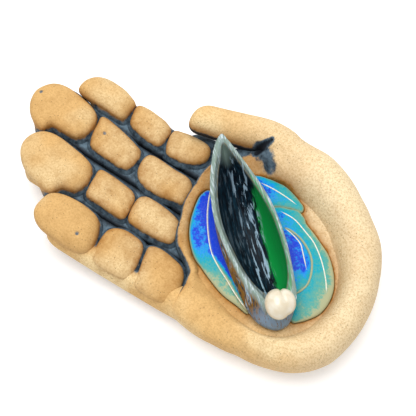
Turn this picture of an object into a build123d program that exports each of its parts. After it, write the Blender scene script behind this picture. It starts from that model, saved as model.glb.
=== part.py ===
from build123d import *
import math
import os

# A palm-up right hand in stoneware, hand-built: a hollowed palm, four finger coils with
# separate joint pads pressed onto them, a thumb coil, glazed petals in the cupped palm,
# and on them a mussel-shaped boat that carries a baroque pearl.
# +X runs from the fingertips to the heel, +Y to the thumb side, +Z up.
# All lengths are millimetres, all angles degrees.

# Palm body
palm_length = 114.0
palm_width = 114.0
palm_centre_x = 45.0
palm_centre_y = 0.0
palm_belly_height = 17.0
palm_rim_height = 26.8
palm_rise_to_heel = 3.2
palm_rise_to_thumb = 4.0
underside_depth = 8.5

# Cupped hollow in the palm
cup_centre_x = 43.0
cup_centre_y = -7.5
cup_floor_height = 17.5
cup_half_length = 47.0
cup_half_width = 35.0
cup_turn = -32.0
cup_flare = 13.0
cup_lean_to_heel = 1.0
cup_lean_to_thumb = 0.0

# Low ridge between the cup and the fingers: its top slopes down towards the fingers
ridge_back_x = 14.0
ridge_back_height = 23.6
ridge_slope = 8.0

# Finger coils, thumb side first
finger_names = ["index", "middle", "ring", "little"]
finger_roots = [-9.0, -6.5, 1.0, 18.5]
little_edge_inset = 1.0
lane_edges = [30.0, 11.2, -9.6, -30.4, little_edge_inset - palm_width / 2]
lane_edge_slopes = [0.0, 0.0, 0.0, 0.055, 0.035]
lane_edges_x = 20.0
base_cells = [24.4, 31.0, 27.5, 26.5]
middle_cells = [23.0, 30.5, 25.0, 21.5]
tip_cells = [28.6, 37.0, 41.0, 38.0]
base_tilt = 1.0
middle_tilt = 3.5
tip_tilt = 6.0
coil_root_height = 15.0
coil_root_underside = 3.0
coil_tip_thickness = 11.0
coil_arch_share = 0.25
coil_edge_round = 4.0
coil_gap = 0.2
coil_setback = 3.5
index_coil_inset = 1.6
lip_width = 3.4
lip_height = 4.0
lip_end_setback = 7.1
lip_root_depth = 1.5

# Joint pads
pad_height = 6.5
pad_groove = 1.6
pad_side_gap = 1.3
tip_pad_height = 10.0
tip_pad_spreads = [1.0, 4.0, 0.8, 0.0]
tip_pad_shifts = [1.0, 0.7, -0.8, 0.0]

# Thumb coil, from its joint with the palm to the centre of its round tip
thumb_lane_gap = 1.0
thumb_root_x = 20.0
thumb_root_height = 17.5
thumb_root_margin = 0.8
thumb_root_half_width = 12.6
thumb_root_half_height = 14.2
thumb_web_x = 8.0
thumb_web_height = 21.5
thumb_web_radius = 11.0
thumb_joint_x = -5.0
thumb_joint_shift = -3.0
thumb_joint_height = 24.0
thumb_joint_radius = 10.0
thumb_tip_x = -17.0
thumb_tip_shift = -5.8
thumb_tip_height = 25.5
thumb_tip_radius = 9.6

# Mussel-shaped boat
shell_offset_x = -12.5
shell_offset_y = 0.5
shell_turn = -43.4
shell_tilt = 6.0
shell_length = 101.0
shell_left_bulge = 14.2
shell_right_bulge = 18.0
shell_rim_rise = 18.0
shell_depth = 18.5
shell_wall = 2.4
shell_floor = 3.0
dish_end_margin = 16.5

# Glazed petals, laid out along the shell
petal_thickness = 3.4
upper_petal_thickness = 2.2
petal_clearance = 0.5
# How wide the hull is, as a share of its rim, at the top of the lower and upper petals
lower_hull_share = 0.66
upper_hull_share = 0.75
left_petal_length = 64.0
left_petal_fill_share = 0.887
left_petal_start = -30.5
left_rib_length = 54.0
left_rib_width_share = 0.36
left_rib_start = -27.0
crest_petal_length = 25.0
crest_petal_width_share = 0.79
crest_petal_start = -33.5
right_petal_length = 61.0
right_petal_fill_share = 0.877
right_petal_start = -13.3
right_rib_length = 39.0
right_rib_width_share = 0.593
right_rib_start = -5.0

# Baroque pearl of two lobes on its seat in the closed end of the shell
pearl_radius = 7.2
pearl_side_radius = 6.2
pearl_spread_along = 0.9
pearl_spread_across = 3.6
pearl_sink = 1.8
pearl_seat_drop = 2.4
pearl_seat_margin = 0.5
pearl_from_end = 10.0
pearl_aside = 5.6

# How far a cutting tool runs past the face that it leaves
overrun = 2.0

made = []


def finish_piece(builder, label):
    """Label a finished sub-part and keep it for export."""
    builder.part.label = label
    made.append(builder.part)


# The palm's outline seen from above, as shares of its length and width
palm_outline_shares = [
    (-0.515, 0.19),
    (-0.395, 0.335),
    (-0.18, 0.48),
    (0.02, 0.495),
    (0.202, 0.399),
    (0.382, 0.259),
    (0.461, 0.110),
    (0.509, -0.119),
    (0.476, -0.307),
    (0.351, -0.435),
    (0.12, -0.491),
    (-0.15, -0.509),
    (-0.38, -0.504),
    (-0.49, -0.30),
    (-0.515, -0.06),
]
# (share of the height between two levels, share of the outline's full size)
lower_palm_shares = [(0.0, 0.80), (0.45, 0.95)]
upper_palm_shares = [(0.0, 1.0), (0.55, 0.97), (1.0, 0.84)]
underside_shares = [(0.0, 0.54), (1.0, 0.49)]


def palm_face(height, size_share, lean_share=0.0):
    """The palm's outline at one level, leaning up to the heel and the thumb side."""
    slope_x = lean_share * palm_rise_to_heel / (palm_length / 2)
    slope_y = lean_share * palm_rise_to_thumb / (palm_width / 2)
    level = Plane(
        origin=(palm_centre_x, palm_centre_y, height),
        x_dir=(1, 0, slope_x),
        z_dir=(-slope_x, -slope_y, 1),
    )
    points = [
        (x * palm_length * size_share, y * palm_width * size_share)
        for x, y in palm_outline_shares
    ]
    with BuildSketch(level) as section:
        with BuildLine():
            Spline(points, periodic=True)
        make_face()
    return section.sketch


thumb_lane_y = lane_edges[0] + thumb_lane_gap
cup_plane = Plane(
    origin=(cup_centre_x, cup_centre_y, cup_floor_height),
    x_dir=(math.cos(math.radians(cup_turn)), math.sin(math.radians(cup_turn)), 0),
    z_dir=(0, 0, 1),
)
cup_depth = palm_rim_height + palm_rise_to_heel + palm_rise_to_thumb - cup_floor_height
# (share of the cup's depth, share of its flare and lean)
cup_wall_shares = [(0.0, 0.0), (0.4, 0.05), (0.7, 0.32), (1.0, 1.0)]

palm_sections = [
    palm_face(share * palm_belly_height, size_share)
    for share, size_share in lower_palm_shares
]
palm_sections += [
    palm_face(
        palm_belly_height + share * (palm_rim_height - palm_belly_height),
        size_share,
        lean_share=share,
    )
    for share, size_share in upper_palm_shares
]

with BuildPart() as palm:
    loft(palm_sections)
    # The cup has a flat oval floor for the petals, and walls that lean outwards
    for share, flare_share in cup_wall_shares:
        with BuildSketch(cup_plane.offset(share * cup_depth)):
            lean = (flare_share * cup_lean_to_heel, flare_share * cup_lean_to_thumb)
            with Locations(lean):
                Ellipse(
                    cup_half_length + flare_share * cup_flare,
                    cup_half_width + flare_share * cup_flare,
                )
    loft(mode=Mode.SUBTRACT)
    # The front is pressed down to a low ridge before the fingers
    with BuildSketch(Plane.XZ):
        ridge_back = (ridge_back_x, ridge_back_height)
        ridge_drop = palm_length * math.tan(math.radians(ridge_slope))
        with BuildLine():
            Polyline(
                ridge_back,
                (ridge_back_x - palm_length, ridge_back_height - ridge_drop),
                (ridge_back_x - palm_length, 2 * palm_rim_height),
                (ridge_back_x, 2 * palm_rim_height),
                close=True,
            )
        make_face()
    extrude(amount=palm_width, both=True, mode=Mode.SUBTRACT)
    # The underside is hollowed out for firing, which leaves a foot ring
    loft(
        [
            palm_face(share * underside_depth, size_share)
            for share, size_share in underside_shares
        ],
        mode=Mode.SUBTRACT,
    )
    # Flat seats where the finger coils and the thumb are joined on
    lane_lows = lane_edges[1:-1] + [-palm_width]
    for root, lane_high, lane_low in zip(finger_roots, lane_edges, lane_lows):
        with BuildSketch(Plane.XY.offset(-overrun)):
            with Locations((root - palm_length / 2, (lane_low + lane_high) / 2)):
                Rectangle(palm_length, lane_high - lane_low)
        extrude(amount=2 * palm_rim_height, mode=Mode.SUBTRACT)
    with BuildSketch(Plane.XY.offset(-overrun)):
        with Locations((thumb_root_x - palm_length / 2, thumb_lane_y + palm_width / 2)):
            Rectangle(palm_length, palm_width)
    extrude(amount=2 * palm_rim_height, mode=Mode.SUBTRACT)
    split(bisect_by=Plane.XY, keep=Keep.TOP)
finish_piece(palm, "palm")


def facet_starts(finger):
    """Corner points, in X and Z, between the three flat facets on top of a coil."""
    x = finger_roots[finger]
    z = coil_root_height
    corners = [(x, z)]
    cells = (base_cells[finger], middle_cells[finger], tip_cells[finger])
    for cell, tilt in zip(cells, (base_tilt, middle_tilt, tip_tilt)):
        x -= cell * math.cos(math.radians(tilt))
        z += cell * math.sin(math.radians(tilt))
        corners.append((x, z))
    return corners


def lane_edge_y(edge, x):
    """Where an edge between two fingers lies at x: the fingers fan out a little."""
    return lane_edges[edge] + lane_edge_slopes[edge] * (x - lane_edges_x)


def facet_plane(finger, joint, inset, shift):
    """A plane on the middle of a facet: x towards the heel, z out of the facet."""
    (x0, z0), (x1, z1) = facet_starts(finger)[joint : joint + 2]
    x = (x0 + x1) / 2
    lane_middle = (lane_edge_y(finger, x) + lane_edge_y(finger + 1, x) + inset) / 2
    slope = (lane_edge_slopes[finger] + lane_edge_slopes[finger + 1]) / 2
    return Plane(
        origin=(x, lane_middle + shift, (z0 + z1) / 2),
        x_dir=(x0 - x1, slope * (x0 - x1), z0 - z1),
        z_dir=(z1 - z0, 0, x0 - x1),
    )


def coil_side_face(finger, y):
    """The side view of a finger coil at y: an arched underside and three facets on top."""
    corners = facet_starts(finger)
    tip_x, tip_z = corners[-1]
    root_x, root_z = corners[0]
    coil_end_x = tip_x + coil_setback
    end_z = tip_z - coil_setback * math.tan(math.radians(tip_tilt))
    end_underside = end_z - coil_tip_thickness
    middle_x = (root_x + coil_end_x) / 2
    middle_z = coil_root_underside + coil_arch_share * (end_underside - coil_root_underside)
    # This plane's sketches read X and Z, and extrude towards -Y
    with BuildSketch(Plane(origin=(0, y, 0), x_dir=(1, 0, 0), z_dir=(0, -1, 0))) as side:
        with BuildLine():
            Polyline(*corners[:-1], (coil_end_x, end_z), (coil_end_x, end_underside))
            ThreePointArc(
                (coil_end_x, end_underside),
                (middle_x, middle_z),
                (root_x, coil_root_underside),
            )
            Line((root_x, coil_root_underside), (root_x, root_z))
        make_face()
    return side.sketch


def lip_side_face(finger, y):
    """The side view of the raised outer edge of a coil, from its root to its round end."""
    corners = facet_starts(finger)
    tip_x, tip_z = corners[-1]
    end_z = tip_z - lip_end_setback * math.tan(math.radians(tip_tilt))
    line = corners[:-1] + [(tip_x + lip_end_setback, end_z)]
    outer = [(x, z + lip_height) for x, z in line]
    inner = [(x, z - lip_root_depth) for x, z in reversed(line)]
    with BuildSketch(Plane(origin=(0, y, 0), x_dir=(1, 0, 0), z_dir=(0, -1, 0))) as side:
        with BuildLine():
            Polyline(*outer, *inner, close=True)
        make_face()
    return side.sketch


def lane_face(finger, low_inset, high_inset):
    """A finger's lane seen from above, inset from its two edges."""
    x_root = finger_roots[finger]
    x_far = facet_starts(finger)[-1][0]
    low = [(x, lane_edge_y(finger + 1, x) + low_inset) for x in (x_root, x_far)]
    high = [(x, lane_edge_y(finger, x) - high_inset) for x in (x_far, x_root)]
    with BuildSketch() as lane:
        with BuildLine():
            Polyline(*low, *high, close=True)
        make_face()
    return lane.sketch


# The outer side of the little finger rises to the pads, as the edge of the hand
little = finger_names.index("little")
hand_side_y = lane_edges[0] + overrun
hand_width = 2 * (lane_edges[0] - lane_edges[-1])
with BuildPart() as lip:
    extrude(lip_side_face(little, hand_side_y), amount=hand_width)
    with BuildSketch():
        lip_outer = [
            (x, lane_edge_y(little + 1, x) + coil_gap)
            for x in (finger_roots[little], facet_starts(little)[-1][0])
        ]
        lip_inner = [(x, y + lip_width) for x, y in reversed(lip_outer)]
        with BuildLine():
            Polyline(*lip_outer, *lip_inner, close=True)
        make_face()
    extrude(amount=palm_rim_height, mode=Mode.INTERSECT)

for finger, finger_name in enumerate(finger_names):
    high_inset = coil_gap if finger else index_coil_inset
    with BuildPart() as coil:
        extrude(coil_side_face(finger, hand_side_y), amount=hand_width)
        extrude(
            lane_face(finger, coil_gap, high_inset),
            amount=palm_rim_height,
            mode=Mode.INTERSECT,
        )
        end_face = coil.faces().filter_by(Plane.YZ).sort_by(Axis.X)[0]
        arched = coil.faces().filter_by(GeomType.CYLINDER)[0].edges().sort_by(Axis.X)
        fillet([*end_face.edges().filter_by(Axis.Z), *arched[:-1]], coil_edge_round)
        if finger == little:
            add(lip.part)
    finish_piece(coil, f"{finger_name}_finger_coil")

# Pad outlines as shares of the pad's length and width, x towards the heel
pad_outline_shares = {
    "base": [(-0.50, 0.05), (-0.46, 0.36), (-0.32, 0.48), (0.02, 0.50), (0.34, 0.46)]
    + [(0.47, 0.31), (0.50, -0.02), (0.46, -0.36), (0.32, -0.48), (-0.02, -0.50)]
    + [(-0.34, -0.47), (-0.47, -0.32)],
    "middle": [(-0.50, 0.0), (-0.47, 0.32), (-0.35, 0.46), (-0.02, 0.50), (0.32, 0.48)]
    + [(0.46, 0.35), (0.50, 0.03), (0.47, -0.34), (0.34, -0.47), (0.02, -0.50)]
    + [(-0.32, -0.48), (-0.46, -0.34)],
    "tip": [(-0.50, -0.02), (-0.46, 0.26), (-0.33, 0.44), (-0.10, 0.50), (0.22, 0.47)]
    + [(0.42, 0.34), (0.50, 0.05), (0.47, -0.22), (0.33, -0.41), (0.05, -0.50)]
    + [(-0.26, -0.47), (-0.45, -0.28)],
}
# (share of the pad's height, share of its outline) from the seat up to the flat crown
pillow_shares = [(0.0, 0.95), (0.38, 1.0), (0.76, 0.90), (1.0, 0.62)]


def pillow_faces(seat, length, width, height, outline_shares):
    """Sections of a pad with a flat seat, swollen sides and a domed crown."""
    faces = []
    for share, size_share in pillow_shares:
        points = [
            (x * length * size_share, y * width * size_share) for x, y in outline_shares
        ]
        with BuildSketch(seat.offset(share * height)) as section:
            with BuildLine():
                Spline(points, periodic=True)
            make_face()
        faces.append(section.sketch)
    return faces


for finger, finger_name in enumerate(finger_names):
    lip_inset = lip_width if finger == little else 0.0
    corners = facet_starts(finger)
    cells = (base_cells[finger], middle_cells[finger], tip_cells[finger])
    for joint, joint_name in enumerate(("base", "middle", "tip")):
        is_tip = joint_name == "tip"
        middle_x = (corners[joint][0] + corners[joint + 1][0]) / 2
        lane_width = lane_edge_y(finger, middle_x) - lane_edge_y(finger + 1, middle_x)
        pad_width = lane_width - lip_inset - 2 * pad_side_gap
        shift = tip_pad_shifts[finger] if is_tip else 0.0
        with BuildPart() as pad:
            loft(
                pillow_faces(
                    facet_plane(finger, joint, lip_inset, shift),
                    cells[joint] - pad_groove,
                    pad_width + (tip_pad_spreads[finger] if is_tip else 0.0),
                    tip_pad_height if is_tip else pad_height,
                    pad_outline_shares[joint_name],
                )
            )
        finish_piece(pad, f"{finger_name}_{joint_name}_pad")

# The thumb coil runs from its flat joint on the palm to a round tip
thumb_root_y = thumb_lane_y + thumb_root_margin + thumb_root_half_width
thumb_root = (thumb_root_x, thumb_root_y, thumb_root_height)
thumb_joint_y = thumb_root_y + thumb_joint_shift
thumb_tip_y = thumb_root_y + thumb_tip_shift
thumb_stations = [
    (thumb_web_x, thumb_root_y, thumb_web_height, thumb_web_radius),
    (thumb_joint_x, thumb_joint_y, thumb_joint_height, thumb_joint_radius),
    (thumb_tip_x, thumb_tip_y, thumb_tip_height, thumb_tip_radius),
]
# Beyond the last station the tip rounds off: (share of its radius ahead, share of its size)
thumb_tip_shares = [(0.50, 0.87), (0.80, 0.60), (0.96, 0.28)]

with BuildPart() as thumb:
    with BuildSketch(Plane(origin=thumb_root, x_dir=(0, -1, 0), z_dir=(-1, 0, 0))):
        Ellipse(thumb_root_half_width, thumb_root_half_height)
    previous = Vector(*thumb_root)
    for x, y, z, radius in thumb_stations:
        heading = (Vector(x, y, z) - previous).normalized()
        station = Plane(
            origin=(x, y, z), x_dir=Vector(-heading.Y, heading.X, 0), z_dir=heading
        )
        with BuildSketch(station):
            Circle(radius)
        previous = Vector(x, y, z)
    for ahead_share, size_share in thumb_tip_shares:
        with BuildSketch(station.offset(ahead_share * thumb_tip_radius)):
            Circle(size_share * thumb_tip_radius)
    loft()
finish_piece(thumb, "thumb")

# The shell's rim, as shares from its pointed end: (length, bulge to one side)
left_rim_shares = [(0, 0), (0.06, 0.42), (0.20, 0.80), (0.43, 1.0), (0.60, 0.96)]
left_rim_shares += [(0.80, 0.67), (0.92, 0.36), (1, 0)]
right_rim_shares = [(0, 0), (0.10, 0.36), (0.23, 0.66), (0.40, 0.93), (0.55, 1.0)]
right_rim_shares += [(0.73, 0.92), (0.88, 0.72), (0.97, 0.38), (1, 0)]

shell_heading = Vector(
    math.cos(math.radians(shell_turn)), math.sin(math.radians(shell_turn)), 0
)
shell_drop = math.tan(math.radians(shell_tilt))
shell_x = cup_centre_x + shell_offset_x
shell_y = cup_centre_y + shell_offset_y
rim_plane = Plane(
    origin=(shell_x, shell_y, cup_floor_height + shell_rim_rise),
    x_dir=(shell_heading.X, shell_heading.Y, -shell_drop),
    z_dir=(shell_heading.X * shell_drop, shell_heading.Y * shell_drop, 1),
)
bed_plane = Plane(
    origin=(shell_x, shell_y, cup_floor_height),
    x_dir=shell_heading,
    z_dir=(0, 0, 1),
)


def lens_face(plane, length, left_bulge, right_bulge, start):
    """A mussel's outline on a plane, with its pointed end at start."""
    left = [(start + x * length, -y * left_bulge) for x, y in left_rim_shares]
    right = [(start + x * length, y * right_bulge) for x, y in right_rim_shares]
    with BuildSketch(plane) as lens:
        with BuildLine():
            Spline(*left)
            Spline(*right)
        make_face()
    return lens.sketch


# (share of the depth, share of the outline's size) from the rim down to the keel
hull_shares = [(0.0, 1.0), (0.45, 0.85), (0.80, 0.63), (1.0, 0.40)]
dish_depth = shell_depth - shell_floor
dish_length = shell_length - shell_wall - dish_end_margin
# The dish starts above the rim, so its walls cut the rim cleanly
dish_shares = [(-overrun / dish_depth, 1.02), (0.0, 1.0), (0.60, 0.80), (1.0, 0.42)]
pearl_plane = rim_plane.offset(-pearl_seat_drop)
pearl_centre = (shell_length / 2 - pearl_from_end, pearl_aside)
pearl_side_centre = (
    pearl_centre[0] + pearl_spread_along,
    pearl_centre[1] + pearl_spread_across,
)

hull_sections = [
    lens_face(
        rim_plane.offset(-share * shell_depth),
        shell_length * size_share,
        shell_left_bulge * size_share,
        shell_right_bulge * size_share,
        -shell_length * size_share / 2,
    )
    for share, size_share in hull_shares
]
dish_sections = [
    lens_face(
        rim_plane.offset(-share * dish_depth),
        dish_length * size_share,
        (shell_left_bulge - shell_wall) * size_share,
        (shell_right_bulge - shell_wall) * size_share,
        -shell_length / 2 + 2 * shell_wall + dish_length * (1 - size_share) / 2,
    )
    for share, size_share in dish_shares
]

with BuildPart() as shell:
    loft(hull_sections)
    loft(dish_sections, mode=Mode.SUBTRACT)
    # A shallow seat for the pearl in the closed end
    with BuildSketch(pearl_plane):
        with Locations(pearl_centre):
            Circle(pearl_radius + pearl_seat_margin)
        with Locations(pearl_side_centre):
            Circle(pearl_side_radius + pearl_seat_margin)
    extrude(amount=shell_depth, mode=Mode.SUBTRACT)
    split(bisect_by=bed_plane, keep=Keep.TOP)
finish_piece(shell, "mussel_shell")

# Two lobes grown together, with a flat where the pearl is glued to its seat
lobe_height = pearl_radius - pearl_sink
with BuildPart() as pearl:
    with Locations(pearl_plane):
        with Locations((*pearl_centre, lobe_height)):
            Sphere(pearl_radius)
        with Locations((*pearl_side_centre, lobe_height)):
            Sphere(pearl_side_radius)
    split(bisect_by=pearl_plane, keep=Keep.TOP)
finish_piece(pearl, "pearl")


def petal_face(base, start, inner, length, width, outline_shares):
    """A petal with one straight side against the shell; width counts away from it."""
    points = [(start + x * length, inner + y * width) for x, y in outline_shares]
    with BuildSketch(base) as face:
        with BuildLine():
            Spline(*points)
            Line(points[-1], points[0])
        make_face()
    return face.sketch


upper_bed = bed_plane.offset(petal_thickness)
left_petal_inner = shell_left_bulge * lower_hull_share + petal_clearance
right_petal_inner = shell_right_bulge * lower_hull_share + petal_clearance
left_rib_inner = shell_left_bulge * upper_hull_share + petal_clearance
right_rib_inner = shell_right_bulge * upper_hull_share + petal_clearance
# The petals fill a share of the floor that the hull leaves free on its two sides
shell_aside = shell_heading.X * shell_offset_y - shell_heading.Y * shell_offset_x
left_floor = cup_half_width + shell_aside - left_petal_inner
right_floor = cup_half_width - shell_aside - right_petal_inner
left_petal_width = left_petal_fill_share * left_floor
right_petal_width = right_petal_fill_share * right_floor
left_rib_width = left_rib_width_share * left_petal_width
crest_petal_width = crest_petal_width_share * right_petal_width
right_rib_width = right_rib_width_share * right_petal_width
left_petal_shares = [(0, 0), (0.03, 0.30), (0.09, 0.56), (0.21, 0.83), (0.32, 0.96)]
left_petal_shares += [(0.44, 1.0), (0.54, 0.97), (0.62, 0.87), (0.72, 0.72)]
left_petal_shares += [(0.87, 0.42), (0.97, 0.12), (1, 0)]
left_rib_shares = [(0, 0), (0.20, 0.62), (0.45, 1.0), (0.72, 0.72), (1, 0)]
crest_petal_shares = [(0.02, 0), (0, 0.14), (0.10, 0.42), (0.22, 0.59), (0.36, 0.74)]
crest_petal_shares += [(0.57, 0.88), (0.75, 0.965), (0.87, 1.0), (0.965, 0.96)]
crest_petal_shares += [(0.975, 0.90), (0.87, 0.73), (0.80, 0.55), (0.76, 0.40), (0.74, 0)]
right_petal_shares = [(0, 0), (0, 0.33), (0.035, 0.52), (0.08, 0.68), (0.15, 0.75)]
right_petal_shares += [(0.21, 0.77), (0.30, 0.86), (0.39, 0.93), (0.50, 0.99)]
right_petal_shares += [(0.615, 1.0), (0.72, 0.965), (0.82, 0.88), (0.905, 0.74)]
right_petal_shares += [(0.97, 0.54), (0.995, 0.33), (1.0, 0.14), (0.99, 0)]
right_rib_shares = [(0, 0), (0.07, 0.44), (0.15, 0.64), (0.27, 0.83), (0.42, 0.965)]
right_rib_shares += [(0.58, 1.0), (0.745, 0.88), (0.88, 0.69), (0.95, 0.45)]
right_rib_shares += [(0.99, 0.20), (1, 0)]

with BuildPart() as left_outer_petal:
    extrude(
        petal_face(
            bed_plane,
            left_petal_start,
            -left_petal_inner,
            left_petal_length,
            -left_petal_width,
            left_petal_shares,
        ),
        amount=petal_thickness,
    )
finish_piece(left_outer_petal, "left_outer_petal")

with BuildPart() as left_inner_petal:
    extrude(
        petal_face(
            upper_bed,
            left_rib_start,
            -left_rib_inner,
            left_rib_length,
            -left_rib_width,
            left_rib_shares,
        ),
        amount=upper_petal_thickness,
    )
finish_piece(left_inner_petal, "left_inner_petal")

with BuildPart() as crest_petal:
    extrude(
        petal_face(
            bed_plane,
            crest_petal_start,
            right_petal_inner,
            crest_petal_length,
            crest_petal_width,
            crest_petal_shares,
        ),
        amount=petal_thickness,
    )
finish_piece(crest_petal, "crest_petal")

with BuildPart() as right_outer_petal:
    extrude(
        petal_face(
            bed_plane,
            right_petal_start,
            right_petal_inner,
            right_petal_length,
            right_petal_width,
            right_petal_shares,
        ),
        amount=petal_thickness,
    )
finish_piece(right_outer_petal, "right_outer_petal")

with BuildPart() as right_inner_petal:
    extrude(
        petal_face(
            upper_bed,
            right_rib_start,
            right_rib_inner,
            right_rib_length,
            right_rib_width,
            right_rib_shares,
        ),
        amount=upper_petal_thickness,
    )
finish_piece(right_inner_petal, "right_inner_petal")

# Stand the hand with its origin at the middle of its footprint box, on the table
box = Compound(made).bounding_box()
to_origin = Location(
    (-(box.min.X + box.max.X) / 2, -(box.min.Y + box.max.Y) / 2, -box.min.Z)
)
os.makedirs("parts", exist_ok=True)
for piece in made:
    placed = piece.moved(to_origin)
    placed.label = piece.label
    export_step(placed, f"parts/{piece.label}.step")
print("origin moved by", to_origin.position)
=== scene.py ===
import math

import bpy
import numpy as np
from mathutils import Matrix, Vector


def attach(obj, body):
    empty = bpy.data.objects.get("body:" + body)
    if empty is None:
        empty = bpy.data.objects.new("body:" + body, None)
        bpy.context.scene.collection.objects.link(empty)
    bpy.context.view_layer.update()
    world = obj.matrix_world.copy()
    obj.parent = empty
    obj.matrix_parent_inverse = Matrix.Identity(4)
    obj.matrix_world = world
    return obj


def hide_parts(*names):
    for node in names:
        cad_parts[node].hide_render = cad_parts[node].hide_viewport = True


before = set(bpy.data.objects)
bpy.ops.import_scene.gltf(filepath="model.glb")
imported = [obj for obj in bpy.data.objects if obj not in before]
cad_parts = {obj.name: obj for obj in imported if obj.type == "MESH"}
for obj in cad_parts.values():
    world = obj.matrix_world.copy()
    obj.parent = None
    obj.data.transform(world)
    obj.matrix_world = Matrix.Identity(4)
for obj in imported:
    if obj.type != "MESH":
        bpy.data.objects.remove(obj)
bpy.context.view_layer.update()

# Everything is drawn in millimetres round the hand's own zero. This brings it to the frame.
handShift = np.array([0.3325, 0.957, 0.0])
millimetre = 0.001
fullTurn, quarterTurn = 2 * math.pi, math.pi / 2
samplesPerPoint = 40
pressedLook = dict(waves=5, shortest=0.7, longest=1.5, phase=6.3)
print("frame loaded:", len(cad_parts), "nodes")


def cubicStretch(a, b, c, d, f):
    # From b to c as f goes from 0 to 1: a cubic that leaves each along its neighbours' chord
    return 0.5 * (2 * b + (c - a) * f + (2 * a - 5 * b + 4 * c - d) * f**2 + (3 * b - a - 3 * c + d) * f**3)


def openCurve(points, count):
    # A smooth line through the points, made of cubic stretches
    points = np.asarray(points, float)
    t = np.linspace(0, len(points) - 1, count)
    i = np.minimum(t.astype(int), len(points) - 2)
    padded = np.concatenate([2 * points[:1] - points[1:2], points, 2 * points[-1:] - points[-2:-1]])
    return cubicStretch(*(padded[i + k] for k in range(4)), (t - i)[:, None])


def evenRing(points, count):
    # The same stretches round a closed curve, with its samples the same distance apart
    points = np.asarray(points, float)
    t = np.linspace(0, len(points), samplesPerPoint * len(points), endpoint=False)
    i = t.astype(int)
    fine = cubicStretch(*(points[(i + k) % len(points)] for k in (-1, 0, 1, 2)), (t - i)[:, None])
    looped = np.concatenate([fine, fine[:1]])
    along = np.concatenate([[0], np.cumsum(np.linalg.norm(np.diff(looped, axis=0), axis=1))])
    wanted = np.linspace(0, along[-1], count, endpoint=False)
    return np.stack([np.interp(wanted, along, looped[:, k]) for k in (0, 1)], 1)


def smoothStep(low, high, value):
    t = np.clip((value - low) / (high - low), 0, 1)
    return t * t * (3 - 2 * t)


def bell(value, width):
    # 1 at zero, falling to both sides
    return np.exp(-(value / width) ** 2)


def segmentDistance(points, a, b):
    edge = b - a
    t = np.clip(((points - a) @ edge) / (edge @ edge), 0, 1)
    return np.linalg.norm(points - a - t[..., None] * edge, axis=-1)


def outlineDistance(points, outline):
    # Distance of XY points to a closed outline, less than zero inside it
    inside = np.zeros(points.shape[:-1], bool)
    away = np.full(points.shape[:-1], np.inf)
    for a, b in zip(outline, np.roll(outline, -1, 0)):
        away = np.minimum(away, segmentDistance(points, a, b))
        crosses = (a[1] > points[..., 1]) != (b[1] > points[..., 1])
        rise = b[1] - a[1] if abs(b[1] - a[1]) > 1e-9 else 1e-9
        inside ^= crosses & (points[..., 0] < a[0] + (b[0] - a[0]) / rise * (points[..., 1] - a[1]))
    return np.where(inside, -away, away)


def lineDistance(points, line):
    # Distance of points to an open line of points
    return np.min([segmentDistance(points, a, b) for a, b in zip(line[:-1], line[1:])], axis=0)


def handPressed(points, pitch, seed):
    # Soft unevenness of hand-pressed clay, from -1 to 1: a mean of sines that run in different directions
    look = pressedLook
    chance = np.random.default_rng(seed)
    total = np.zeros(points.shape[:-1])
    for _ in range(look["waves"]):
        heading = chance.normal(size=3)
        heading /= np.linalg.norm(heading)
        wave = fullTurn / (pitch * chance.uniform(look["shortest"], look["longest"]))
        total += np.sin(points @ heading * wave + chance.uniform(0, look["phase"]))
    return total / look["waves"]


def wanderOf(points, waves, seed=0):
    # A sum of such unevenness: how strong, its pitch, what it adds to the seed
    return sum(strength * handPressed(points, pitch, seed + added) for strength, pitch, added in waves)


def window(rise, fall, value):
    # 1 between a stretch where it rises and a stretch where it falls
    return smoothStep(*rise, value) * smoothStep(*fall, value)


def anglesRound(count):
    return np.linspace(0, fullTurn, count, endpoint=False)


def ballRays(levels, around):
    # Directions from pole to pole, without the poles
    rise = np.linspace(-quarterTurn, quarterTurn, levels)[1:-1, None]
    turn = anglesRound(around)
    return np.stack([np.cos(rise) * np.cos(turn), np.cos(rise) * np.sin(turn), np.sin(rise) + 0 * turn], -1)


def roundedEnd(start, shoulder, end, counts, power, least):
    # Places along X, and the size of the section there: 1 as far as the shoulder, then a power of the cosine
    angle = np.linspace(0, quarterTurn, counts[1] + 1)[1:]
    x = np.concatenate([np.linspace(start, shoulder, counts[0]), shoulder + (end - shoulder) * np.sin(angle)])
    size = np.concatenate([np.ones(counts[0]), np.maximum(np.cos(angle), 0) ** power])
    return x, np.maximum(size, least)


def sections(x, middleY, halfWidth, across, middleZ, halfHeight, tall):
    # Rings that stand across X, each round its own middle with its own half width and half height
    y = middleY[:, None] + halfWidth[:, None] * across
    z = middleZ[:, None] + halfHeight[:, None] * tall
    return np.stack([np.broadcast_to(x[:, None], y.shape), y, z], -1)


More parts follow.
